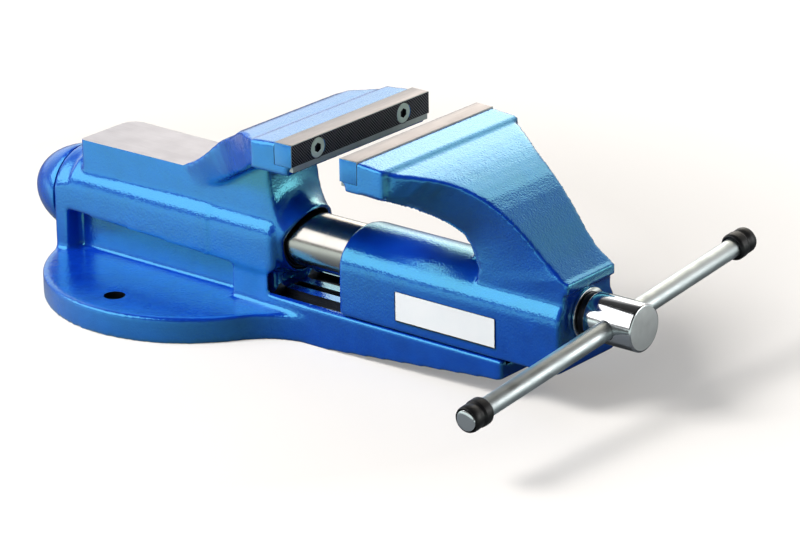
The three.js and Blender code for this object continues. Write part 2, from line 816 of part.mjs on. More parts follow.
// Geometry made along Y, carried to the tilted handle's axis and moved along it
function handlePlaced(geometry, along) {
  geometry.translate(0, along, 0);
  geometry.rotateX(THREE.MathUtils.degToRad(handleTiltDegrees));
  geometry.translate(handleX, 0, screwHeight);
  return solidOf(geometry);
}

function turnedOnHandle(profile, along) {
  const points = profile.map(([y, radius]) => new THREE.Vector2(radius, y));
  return handlePlaced(new THREE.LatheGeometry(points, smallSteps), along);
}

function handleBar() {
  const half = handleLength / 2;
  return turnedOnHandle([[-half, 0], [-half, handleRadius], [half, handleRadius], [half, 0]], handleOffset);
}

// Rubber ring with two ridges and a waist, over the bar's end and the root of its button
function handleRing(hand) {
  const end = handleLength / 2 + ringOverhang;
  const start = end - ringLength;
  const barBore = handleRadius + seatGap;
  const buttonBore = buttonRadius + seatGap;
  const step = handleLength / 2 - seatGap;
  const waist = ringWaistRadius;
  const radii = [waist, ringInnerRidge, ringInnerRidge, waist, ringOuterRidge, ringOuterRidge, waist];
  const profile = [
    [start, barBore],
    ...ringStationShares.map((share, i) => [start + ringLength * share, radii[i]]),
    [end, buttonBore], [step, buttonBore], [step, barBore], [start, barBore],
  ];
  return turnedOnHandle(profile.map(([y, radius]) => [hand * y, radius]), handleOffset);
}

function handleButton(hand) {
  const start = handleLength / 2 + seatGap;
  const end = start + buttonLength;
  const profile = [
    [start, 0], [start, buttonRadius], [end - buttonRound, buttonRadius],
    [end, buttonRadius - buttonRound], [end, 0],
  ];
  return turnedOnHandle(profile.map(([y, radius]) => [hand * y, radius]), handleOffset);
}

// Washer round the spindle, from its rear face forward
function spindleWasher(radius, fromX, thickness) {
  return pipe(radius, spindleRadius + seatGap, fromX, fromX + thickness);
}

function labelPlate() {
  const fromX = sliderRearX + labelFromRear;
  return block(
    [fromX, fromX + labelLength],
    [-sliderHalfWidth - labelThickness, -sliderHalfWidth],
    [labelBottomHeight, labelBottomHeight + labelHeight],
  );
}

function retainer() {
  const toX = sliderFrontX - sliderFrontWall - runningGap;
  return spindleWasher(retainerRadius, toX - retainerThickness, retainerThickness);
}

function wiper() {
  const toX = noseFrontX - wiperSetback;
  return pipe(wiperRadius, tubeRadius + runningGap, toX - wiperThickness, toX);
}

const finishes = {
  enamel: { color: 0x1c5aab, roughness: 0.3, metalness: 0.1 },
  groundSteel: { color: 0xb9b4ac, roughness: 0.35, metalness: 1 },
  chrome: { color: 0xd6dade, roughness: 0.12, metalness: 1 },
  darkSteel: { color: 0x4a4b50, roughness: 0.5, metalness: 0.9 },
  zinc: { color: 0x9aa3a6, roughness: 0.4, metalness: 1 },
  rubber: { color: 0x15151a, roughness: 0.6, metalness: 0 },
  label: { color: 0xe8eef0, roughness: 0.4, metalness: 0 },
};

const root = new THREE.Group();

function add(name, solid, finish) {
  const material = new THREE.MeshStandardMaterial({ ...finishes[finish], flatShading: true });
  const mesh = new THREE.Mesh(geometryOf(solid), material);
  mesh.name = name;
  root.add(mesh);
}

add('fixed_body', fixedBody(), 'enamel');
add('fixed_jaw_plate', jawPlate(jawFaceX, 1), 'darkSteel');
add('rear_cap', rearCap(), 'enamel');
add('spindle_nut', spindleNut(), 'darkSteel');
add('nut_dowel', nutDowel(), 'darkSteel');
add('bore_wiper', wiper(), 'rubber');
add('moving_body', movingBody(), 'enamel');
add('moving_jaw_plate', jawPlate(movingFaceX, -1), 'darkSteel');
add('guide_tube', guideTube(), 'groundSteel');
add('guide_lock_pin', lockPin(), 'darkSteel');
add('label_plate', labelPlate(), 'label');
add('spindle', spindle(), 'chrome');
add('thrust_ring', spindleWasher(thrustRingRadius, thrustRingX, thrustRingThickness), 'chrome');
add('spindle_collar', spindleWasher(collarRadius, collarX, collarThickness), 'darkSteel');
add('retaining_ring', retainer(), 'darkSteel');
add('handle_bar', handleBar(), 'chrome');
for (const [side, hand] of [['near', -1], ['far', 1]]) {
  const y = hand * plateScrewY;
  for (const [jaw, faceX, facing] of [['fixed', jawFaceX, 1], ['moving', movingFaceX, -1]]) {
    const screw = cut(plateScrew(faceX, facing, y), [hexSocket(faceX, facing, y)]);
    add(`${jaw}_plate_screw_${side}`, screw, 'zinc');
  }
  add(`cap_screw_${side}`, capScrew(hand), 'darkSteel');
  add(`handle_ring_${side}`, handleRing(hand), 'rubber');
  add(`handle_button_${side}`, handleButton(hand), 'chrome');
}

export default root;
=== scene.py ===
"""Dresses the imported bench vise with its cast, ground and plated surfaces, in a plain pale studio."""

import logging
import math
from contextlib import contextmanager
from dataclasses import dataclass, field
from enum import Enum
from typing import Iterable, Iterator, Sequence

import bpy
import numpy as np
from mathutils import Matrix, Vector


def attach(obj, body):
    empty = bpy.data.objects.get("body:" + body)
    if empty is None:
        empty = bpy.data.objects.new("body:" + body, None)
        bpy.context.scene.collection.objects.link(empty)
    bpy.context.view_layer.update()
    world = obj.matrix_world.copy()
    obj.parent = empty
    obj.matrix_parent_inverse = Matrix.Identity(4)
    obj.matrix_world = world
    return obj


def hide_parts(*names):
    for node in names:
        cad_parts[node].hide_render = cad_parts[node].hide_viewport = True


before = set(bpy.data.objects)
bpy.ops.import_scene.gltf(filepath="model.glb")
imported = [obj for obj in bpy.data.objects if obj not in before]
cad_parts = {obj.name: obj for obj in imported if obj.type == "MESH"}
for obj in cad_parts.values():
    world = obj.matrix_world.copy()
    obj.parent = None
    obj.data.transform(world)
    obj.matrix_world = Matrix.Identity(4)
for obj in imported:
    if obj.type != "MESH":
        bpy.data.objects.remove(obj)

LOG = logging.getLogger("vise")
MM = 0.001
# height of the spindle and the guide tube, in mm
AXIS_Z = 54.3
# faces round a turned piece, by how large it shows
COARSE, PLAIN, EVEN, FINE, FINEST = 32, 48, 64, 96, 128
HEXAGON = 6
# the two ends of what comes in pairs, and their side of Y
HANDS = (("near", -1), ("far", 1))

Piece = bpy.types.Object
Tree = bpy.types.NodeTree
Node = bpy.types.Node
Socket = bpy.types.NodeSocket
Station = tuple[float, float]
Range = tuple[float, float]
Point = tuple[float, float, float]


class Body(Enum):
    """The moving groups of the vise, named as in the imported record."""

    BASE = "base"
    JAW = "jaw"
    SCREW = "screw"
    HANDLE = "handle"


class Slot(Enum):
    """The names of the record's material slots."""

    ENAMEL = "enamel"
    PLATE = "hardened_plate"
    GROUND = "ground_steel"
    DARK = "dark_steel"
    ZINC = "zinc"
    CHROME = "chrome"
    RUBBER = "rubber"
    LABEL = "label"


# ---------------------------------------------------------------- finishes


def linear(hex_colour: str) -> tuple[float, float, float, float]:
    """Turns an sRGB hex colour into linear red, green, blue and alpha.

    Args:
        hex_colour: Six hex digits after a hash.

    Returns:
        The linear colour with an alpha of one.
    """
    parts = [int(hex_colour[i : i + 2], 16) / 255 for i in (1, 3, 5)]
    red, green, blue = (c / 12.92 if c <= 0.04045 else ((c + 0.055) / 1.055) ** 2.4 for c in parts)
    return red, green, blue, 1.0


def add_node(tree: Tree, kind: str, inputs: dict | None = None, **settings: object) -> Node:
    """Adds a node to a tree, with its settings, its values and its links.

    Args:
        tree: The node tree that gets the node.
        kind: The node's type name, without ShaderNode in front.
        inputs: Input name or number to a plain value, to the output that feeds it, or to the node whose
            first output feeds it.
        **settings: Properties of the node itself.

    Returns:
        The new node.
    """
    node = tree.nodes.new("ShaderNode" + kind)
    for name, value in settings.items():
        setattr(node, name, value)
    for key, value in (inputs or {}).items():
        source = value.outputs[0] if isinstance(value, Node) else value
        if isinstance(source, Socket):
            tree.links.new(source, node.inputs[key])
        else:
            node.inputs[key].default_value = source
    return node


def per_metre(size_mm: float) -> float:
    """Gives the texture scale at which one cell of a pattern is size_mm wide."""
    return 1.0 / (size_mm * MM)


@dataclass(frozen=True)
class Finish:
    """A surface finish, made once as a node material and then shared."""

    name: str = "plain"

    def material(self) -> bpy.types.Material:
        """Returns the finish's material, and makes it on first use."""
        made = bpy.data.materials.get(self.name)
        if made is not None:
            return made
        made = bpy.data.materials.new(self.name)
        made.use_nodes = True
        tree = made.node_tree
        tree.nodes.clear()
        place = add_node(tree, "TexCoord").outputs["Object"]
        add_node(tree, "OutputMaterial", {"Surface": self.shader(tree, place)})
        return made

    def shader(self, tree: Tree, place: Socket) -> Node:
        """Adds the finish's nodes and returns its surface shader.

        Args:
            tree: The material's node tree.
            place: The point on the piece, in Object coordinates.

        Returns:
            The shader node that feeds the material output.
        """
        raise NotImplementedError


@dataclass(frozen=True)
class StovedEnamel(Finish):
    """Glossy stoved enamel over sand-cast iron: its orange peel breaks up the border of every highlight.

    Slow waves of the casting bend its reflections, sharp edges carry a pale painted highlight, and a clear
    coat lies over the whole.
    """

    name: str = "stoved_blue_enamel"
    thin: str = "#083CB2"
    full: str = "#0732A2"
    # pale colour painted on sharp edges as the highlight that they catch
    edge: str = "#5FA8E6"
    gleam: str = "#42DAE8"
    peel_mm: float = 1.2
    peel_depth_mm: float = 0.18
    wave_mm: float = 13.0
    wave_depth_mm: float = 0.22
    roughness: float = 0.17
    uneven: float = 0.05
    # pointiness at which the painted edge highlight begins and is full, and its largest share
    edge_bend: Range = (0.55, 0.63)
    edge_highlight_share: float = 0.5

    def shader(self, tree: Tree, place: Socket) -> Node:
        """Adds the enamel: colour by paint depth, a painted highlight on sharp edges, peel and waves as bump.
        """
        waves = add_node(tree, "TexNoise", {
            "Vector": place, "Scale": per_metre(self.wave_mm), "Detail": 2.0, "Roughness": 0.5,
        })
        peel = add_node(tree, "TexNoise", {
            "Vector": place, "Scale": per_metre(self.peel_mm), "Detail": 1.5, "Roughness": 0.45,
        })
        depth = add_node(tree, "MapRange", {"Value": waves, "From Min": 0.3, "From Max": 0.7})
        body = add_node(
            tree, "Mix", {0: depth, 6: linear(self.full), 7: linear(self.thin)}, data_type="RGBA"
        )
        # painted highlight: sharp edges, found by pointiness, are mixed towards the pale edge colour
        painted_highlight = add_node(tree, "MapRange", {
            "Value": add_node(tree, "NewGeometry").outputs["Pointiness"],
            "From Min": self.edge_bend[0], "From Max": self.edge_bend[1], "To Max": self.edge_highlight_share,
        })
        colour = add_node(
            tree, "Mix", {0: painted_highlight, 6: body.outputs[2], 7: linear(self.edge)}, data_type="RGBA"
        )
        gloss = add_node(tree, "MapRange", {
            "Value": peel, "From Min": 0.3, "From Max": 0.7,
            "To Min": self.roughness - self.uneven, "To Max": self.roughness + self.uneven,
        })
        cast = add_node(tree, "Bump", {
            "Height": waves, "Strength": 0.5, "Distance": self.wave_depth_mm * MM,
        })
        skin = add_node(tree, "Bump", {
            "Height": peel, "Strength": 0.8, "Distance": self.peel_depth_mm * MM, "Normal": cast,
        })
        return add_node(tree, "BsdfPrincipled", {
            "Base Color": colour.outputs[2], "Roughness": gloss, "IOR": 2.2, "Specular IOR Level": 0.9,
            "Specular Tint": linear(self.gleam), "Normal": skin,
            "Coat Weight": 0.8, "Coat Roughness": 0.14, "Coat Normal": skin,
        })


@dataclass(frozen=True)
class GroundSteel(Finish):
    """Cast iron or steel face left bare after grinding: pale, faintly lined along the wheel's path."""

    name: str = "ground_anvil_iron"
    colour: str = "#CCCBD2"
    dull: str = "#B0AEB5"
    roughness: float = 0.36
    uneven: float = 0.07
    lines: Point = (0.5, 14.0, 14.0)
    line_depth_mm: float = 0.02
    cloud_mm: float = 18.0

    def shader(self, tree: Tree, place: Socket) -> Node:
        """Adds the metal with grinding lines, whose spacing along each axis is given in mm."""
        scale = tuple(per_metre(gap) for gap in self.lines)
        stretch = add_node(tree, "Mapping", {"Vector": place, "Scale": scale})
        marks = add_node(tree, "TexNoise", {
            "Vector": stretch, "Scale": 1.0, "Detail": 3.0, "Roughness": 0.6,
        })
        cloud = add_node(tree, "TexNoise", {
            "Vector": place, "Scale": per_metre(self.cloud_mm), "Detail": 2.0,
        })
        colour = add_node(
            tree, "Mix", {0: cloud, 6: linear(self.colour), 7: linear(self.dull)}, data_type="RGBA"
        )
        gloss = add_node(tree, "MapRange", {
            "Value": marks, "From Min": 0.3, "From Max": 0.7,
            "To Min": self.roughness - self.uneven, "To Max": self.roughness + self.uneven,
        })
        bump = add_node(tree, "Bump", {
            "Height": marks, "Strength": 0.25, "Distance": self.line_depth_mm * MM,
        })
        return add_node(tree, "BsdfPrincipled", {
            "Base Color": colour.outputs[2], "Metallic": 1.0, "Roughness": gloss, "Normal": bump,
        })


@dataclass(frozen=True)
class CheckeredSteel(Finish):
    """Hardened tool steel, milled with crossed fine grooves and left dark from its heat treatment."""

    name: str = "checkered_hardened_steel"
    ridge: str = "#85868C"
    # painted shade that darkens the bottoms of the grooves
    groove_shade: str = "#1C1D21"
    pitch_mm: float = 1.4
    depth_mm: float = 0.3

    def shader(self, tree: Tree, place: Socket) -> Node:
        """Adds crossed grooves at 45 degrees in the face, with painted shade at their bottoms."""
        # a wave texture's bands repeat every pi / 10 units at scale one
        scale = per_metre(self.pitch_mm) * math.pi / 10
        cuts = []
        for turn in (45.0, -45.0):
            across = add_node(
                tree, "Mapping", {"Vector": place, "Rotation": (math.radians(turn), 0.0, 0.0)}
            )
            cut = add_node(tree, "TexWave", {"Vector": across, "Scale": scale}, bands_direction="Y")
            cuts.append(cut.outputs[1])
        height = add_node(tree, "Math", {0: cuts[0], 1: cuts[1]}, operation="MULTIPLY")
        # painted shade: the colour goes towards the dark groove colour where the grooves are deep
        colour = add_node(
            tree, "Mix", {0: height, 6: linear(self.groove_shade), 7: linear(self.ridge)}, data_type="RGBA"
        )
        bump = add_node(tree, "Bump", {
            "Height": height, "Strength": 0.8, "Distance": self.depth_mm * MM,
        })
        return add_node(tree, "BsdfPrincipled", {
            "Base Color": colour.outputs[2], "Metallic": 0.9, "Roughness": 0.42, "Normal": bump,
        })


@dataclass(frozen=True)
class PlatedMetal(Finish):
    """Plated or oxidised turned steel: even and smooth, with faint polishing lines and small dull patches."""

    name: str = "bright_chrome"
    colour: str = "#E6E8EA"
    roughness: float = 0.09
    line_mm: float = 0.5
    line_depth_mm: float = 0.004
    line_length_mm: float = 25.0
    patch_mm: float = 9.0
    patch_dullness: float = 1.5

    def shader(self, tree: Tree, place: Socket) -> Node:
        """Adds the plated metal with polishing lines across X and slow changes of gloss."""
        along = per_metre(self.line_length_mm)
        stretch = add_node(
            tree, "Mapping", {"Vector": place, "Scale": (per_metre(self.line_mm), along, along)}
        )
        lines = add_node(tree, "TexNoise", {"Vector": stretch, "Scale": 1.0, "Detail": 2.0})
        patches = add_node(tree, "TexNoise", {
            "Vector": place, "Scale": per_metre(self.patch_mm), "Detail": 3.0,
        })
        gloss = add_node(tree, "MapRange", {
            "Value": patches, "From Min": 0.35, "From Max": 0.7,
            "To Min": self.roughness, "To Max": self.roughness * self.patch_dullness,
        })
        bump = add_node(tree, "Bump", {
            "Height": lines, "Strength": 0.3, "Distance": self.line_depth_mm * MM,
        })
        return add_node(tree, "BsdfPrincipled", {
            "Base Color": linear(self.colour), "Metallic": 1.0, "Roughness": gloss, "Normal": bump,
        })


@dataclass(frozen=True)
class MouldedRubber(Finish):
    """Black moulded nitrile rubber: a matt skin with a soft sheen and fine pits."""

    name: str = "black_moulded_rubber"
    colour: str = "#0E0E10"
    pit_mm: float = 0.7
    pit_depth_mm: float = 0.05
    roughness: Range = (0.34, 0.5)

    def shader(self, tree: Tree, place: Socket) -> Node:
        """Adds the rubber with pits as bump."""
        pits = add_node(tree, "TexNoise", {"Vector": place, "Scale": per_metre(self.pit_mm), "Detail": 2.0})
        gloss = add_node(tree, "MapRange", {
            "Value": pits, "From Min": 0.3, "From Max": 0.7,
            "To Min": self.roughness[0], "To Max": self.roughness[1],
        })
        bump = add_node(tree, "Bump", {
            "Height": pits, "Strength": 0.3, "Distance": self.pit_depth_mm * MM,
        })
        return add_node(tree, "BsdfPrincipled", {
            "Base Color": linear(self.colour), "Roughness": gloss, "IOR": 1.5, "Normal": bump,
        })


@dataclass(frozen=True)
class LacqueredPlate(Finish):
    """White stove-lacquered aluminium sheet: clean, satin and very slightly uneven."""

    name: str = "white_lacquered_aluminium"
    colour: str = "#FBFCFC"
    shade: str = "#F0F5F7"
    ripple_mm: float = 14.0
    ripple_depth_mm: float = 0.1

    def shader(self, tree: Tree, place: Socket) -> Node:
        """Adds the lacquer with a faint change of tint and a shallow ripple."""
        ripple = add_node(tree, "TexNoise", {
            "Vector": place, "Scale": per_metre(self.ripple_mm), "Detail": 3.0,
        })
        colour = add_node(
            tree, "Mix", {0: ripple, 6: linear(self.colour), 7: linear(self.shade)}, data_type="RGBA"
        )
        bump = add_node(tree, "Bump", {
            "Height": ripple, "Strength": 0.2, "Distance": self.ripple_depth_mm * MM,
        })
        return add_node(tree, "BsdfPrincipled", {
            "Base Color": colour.outputs[2], "Roughness": 0.38, "IOR": 1.5, "Normal": bump,
        })


ENAMEL = StovedEnamel()
ANVIL_STEEL = GroundSteel(lines=(14.0, 0.6, 14.0))
PLATE_TOP_STEEL = GroundSteel("ground_tool_steel", "#A4A0A2", "#969294", lines=(0.6, 16.0, 16.0))
TUBE_STEEL = GroundSteel("ground_tube_steel", "#C2BEB9", "#B0ACA6", 0.2, lines=(0.4, 30.0, 30.0))
SLIDE_STEEL = GroundSteel("milled_slideway_iron", "#5E646E", "#2C3038", 0.42, lines=(20.0, 0.7, 20.0))
STRIP_STEEL = GroundSteel("ground_hardened_steel", "#D2DAD8", "#B6BEBC", 0.75, lines=(16.0, 0.7, 16.0))
CHECKERED = CheckeredSteel()
CHROME = PlatedMetal()
BAR_CHROME = PlatedMetal("brushed_chrome", "#DDE5E6", 0.34, line_depth_mm=0.01)
SATIN_CHROME = PlatedMetal("faced_chrome", "#D9DBDB", 0.6, line_depth_mm=0.02)
DARK_STEEL = PlatedMetal("black_oxide_steel", "#3A3B40", 0.38, line_depth_mm=0.02)
ZINC = PlatedMetal("zinc_plated_steel", "#F0FAF4", 0.8, line_depth_mm=0.02)
RUBBER = MouldedRubber()
LABEL = LacqueredPlate()


# ---------------------------------------------------------------- modelling by hand


def clear_selection() -> None:
    """Leaves edit mode and deselects every object, so that an operator acts on the next piece alone."""
    if bpy.context.object is not None and bpy.context.object.mode != "OBJECT":
        bpy.ops.object.mode_set(mode="OBJECT")
    bpy.ops.object.select_all(action="DESELECT")


def only(obj: Piece) -> None:
    """Selects one object alone and makes it active."""
    clear_selection()
    obj.select_set(True)
    bpy.context.view_layer.objects.active = obj


@contextmanager
def editing(obj: Piece, mode: str = "VERT", chosen: Iterable[int] | None = None) -> Iterator[None]:
    """Opens a piece in edit mode for a few steps, and leaves edit mode after them.

    Args:
        obj: The piece.
        mode: What is selected: VERT, EDGE or FACE.
        chosen: Numbers of the selected points, edges or faces; without them, all are selected.
    """
    only(obj)
    bpy.ops.object.mode_set(mode="EDIT")
    bpy.ops.mesh.select_mode(type=mode)
    bpy.ops.mesh.select_all(action="SELECT" if chosen is None else "DESELECT")
    if chosen is not None:
        bpy.ops.object.mode_set(mode="OBJECT")
        parts = {"VERT": obj.data.vertices, "EDGE": obj.data.edges, "FACE": obj.data.polygons}[mode]
        for number in chosen:
            parts[number].select = True
        bpy.ops.object.mode_set(mode="EDIT")
    yield
    bpy.ops.object.mode_set(mode="OBJECT")


def extrude(x: float, y: float, z: float) -> None:
    """Extrudes what is selected in edit mode by an offset in mm."""
    bpy.ops.mesh.extrude_region_move(TRANSFORM_OT_translate={"value": (x * MM, y * MM, z * MM)})


def slice_at(obj: Piece, spot: Sequence[float], outward: Sequence[float], trim: bool = False) -> None:
    """Cuts a piece along a plane.

    Args:
        obj: The piece.
        spot: A point of the plane in mm.
        outward: The direction that the plane faces.
        trim: Whether what lies outward is taken away and the cut is closed.
    """
    with editing(obj):
        bpy.ops.mesh.bisect(
            plane_co=Vector(spot) * MM, plane_no=Vector(outward).normalized(),
            use_fill=trim, clear_outer=trim,
        )


def named(name: str) -> Piece:
    """Names the active object and its mesh, and returns it."""
    obj = bpy.context.active_object
    obj.name = name
    obj.data.name = name
    return obj


def apply_modifier(obj: Piece, kind: str, **settings: object) -> None:
    """Adds one modifier to a piece and applies it.

    Args:
        obj: The piece.
        kind: The modifier's type name.
        **settings: Properties of the modifier.
    """
    only(obj)
    modifier = obj.modifiers.new(kind.lower(), kind)
    for name, value in settings.items():
        setattr(modifier, name, value)
    bpy.ops.object.modifier_apply(modifier=modifier.name)


def soften(obj: Piece, width_mm: float, segments: int = 3, angle: float = 30.0) -> None:
    """Rounds a piece's sharp edges.

    Args:
        obj: The piece.
        width_mm: Width of the rounding.
        segments: Faces across the rounding.
        angle: Least angle of an edge that is rounded, in degrees.
    """
    apply_modifier(
        obj, "BEVEL", width=width_mm * MM, segments=segments, limit_method="ANGLE",
        angle_limit=math.radians(angle), use_clamp_overlap=True,
    )


def smooth_shading(obj: Piece, angle: float = 32.0) -> None:
    """Shades a piece smooth, except across edges sharper than the angle in degrees."""
    only(obj)
    bpy.ops.object.shade_smooth_by_angle(angle=math.radians(angle))


def block(name: str, x: Range, y: Range, z: Range) -> Piece:
    """Adds a cube stretched between two corners, as a start for a piece or a cutter.

    Args:
        name: The object's name.
        x: Lowest and highest X in mm.
        y: Lowest and highest Y in mm.
        z: Lowest and highest Z in mm.

    Returns:
        The block, with its place in its mesh.
    """
    clear_selection()
    bpy.ops.mesh.primitive_cube_add(
        size=1.0, location=[sum(pair) / 2 * MM for pair in (x, y, z)],
        scale=[(pair[1] - pair[0]) * MM for pair in (x, y, z)],
    )
    obj = named(name)
    bpy.ops.object.transform_apply(location=True, rotation=True, scale=True)
    return obj


def turned(
    name: str, profile: Sequence[Station], placement: Matrix, steps: int = FINE, hollow: bool = False
) -> Piece:
    """Turns a profile about an axis: one ring is drawn out and resized from station to station.

    Args:
        name: The object's name.
        profile: Places along the axis and radii there, in mm; a radius is never zero.
        placement: Carries the turning axis, drawn along Z, to its place in metres.
        steps: Faces round the piece.
        hollow: Whether the last station meets the first again, which leaves a bore.

    Returns:
        The turned piece, with its place in its mesh.
    """
    clear_selection()
    bpy.ops.mesh.primitive_circle_add(vertices=steps, radius=profile[0][1] * MM, location=(0, 0, 0))
    obj = named(name)
    with editing(obj):
        bpy.ops.transform.translate(value=(0, 0, profile[0][0] * MM))
        for (start, first), (end, second) in zip(profile, profile[1:]):
            extrude(0, 0, end - start)
            bpy.ops.transform.resize(value=(second / first, second / first, 1), center_override=(0, 0, 0))
        bpy.ops.mesh.select_all(action="SELECT")
        bpy.ops.mesh.remove_doubles(threshold=0.001 * MM)
        if not hollow:
            bpy.ops.mesh.fill_holes(sides=0)
        bpy.ops.mesh.select_all(action="SELECT")
        bpy.ops.mesh.normals_make_consistent(inside=False)
    obj.matrix_world = placement
    bpy.ops.object.transform_apply(location=True, rotation=True, scale=True)
    return obj


def rod(name: str, ends: Range, radius: float, placement: Matrix, steps: int) -> Piece:
    """Turns a plain cylinder between two places along an axis, as turned does."""
    return turned(name, [(ends[0], radius), (ends[1], radius)], placement, steps)


def sleeve(name: str, x: Range, outer: float, inner: float, steps: int) -> Piece:
    """Turns a plain tube about the spindle's axis, between two places and two radii in mm."""
    start, end = x
    profile = [(start, inner), (start, outer), (end, outer), (end, inner), (start, inner)]
    return turned(name, profile, along_x(), steps, hollow=True)


def along_x(y: float = 0.0, z: float = AXIS_Z) -> Matrix:
    """Placement of a turning axis that runs along +X at a Y and Z in mm."""
    turn = Matrix(((0, 0, 1, 0), (1, 0, 0, 0), (0, 1, 0, 0), (0, 0, 0, 1)))
    return Matrix.Translation((0, y * MM, z * MM)) @ turn


def upright(x: float, y: float) -> Matrix:
    """Placement of a turning axis that runs along +Z at an X and Y in mm."""
    return Matrix.Translation((x * MM, y * MM, 0))


def take_away(obj: Piece, cutters: Iterable[Piece]) -> None:
    """Cuts tools out of a piece; the cut faces take the tools' material.

    Args:
        obj: The piece.
        cutters: The tools, which are used up.
    """
    for cutter in cutters:
        apply_modifier(
            obj, "BOOLEAN", operation="DIFFERENCE", solver="EXACT", material_mode="TRANSFER", object=cutter
        )
        bpy.data.objects.remove(cutter)


def dress(obj: Piece, *finishes: Finish) -> Piece:
    """Gives a piece its materials, in the order of its slots."""
    obj.data.materials.clear()
    for finish in finishes:
        obj.data.materials.append(finish.material())
    return obj


def finished(obj: Piece, finish: Finish, edge_mm: float, segments: int = 3) -> Piece:
    """Softens a piece's edges by a width in mm, dresses it in one finish and shades it smooth."""
    soften(obj, edge_mm, segments)
    smooth_shading(dress(obj, finish))
    return obj


def paint_faces(
    obj: Piece, slot: int, normal: Vector, low: Vector, high: Vector, least: float = 0.97
) -> None:
    """Puts the faces that look one way, inside a box in mm, in a material slot.

    Args:
        obj: The piece.
        slot: Number of the material slot.
        normal: Direction that the faces look in.
        low: Lowest corner of the box.
        high: Highest corner of the box.
        least: Least cosine between a face's normal and that direction.
    """
    for face in obj.data.polygons:
        centre = face.center / MM
        if face.normal.dot(normal) > least and all(low[i] <= centre[i] <= high[i] for i in range(3)):
            face.material_index = slot


def place_piece(obj: Piece, body: Body, slot: Slot, *nodes: str) -> Piece:
    """Puts a finished piece on its moving group and hides the CAD nodes that it stands for.

    Args:
        obj: The finished piece.
        body: The group that it moves with.
        slot: The record's material slot; not used.
        *nodes: The CAD nodes that it replaces.

    Returns:
        The piece.
    """
    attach(obj, body.value)
    if nodes:
        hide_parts(*nodes)
    LOG.info("%s: %d faces on %s", obj.name, len(obj.data.polygons), body.value)
    return obj


# ---------------------------------------------------------------- castings


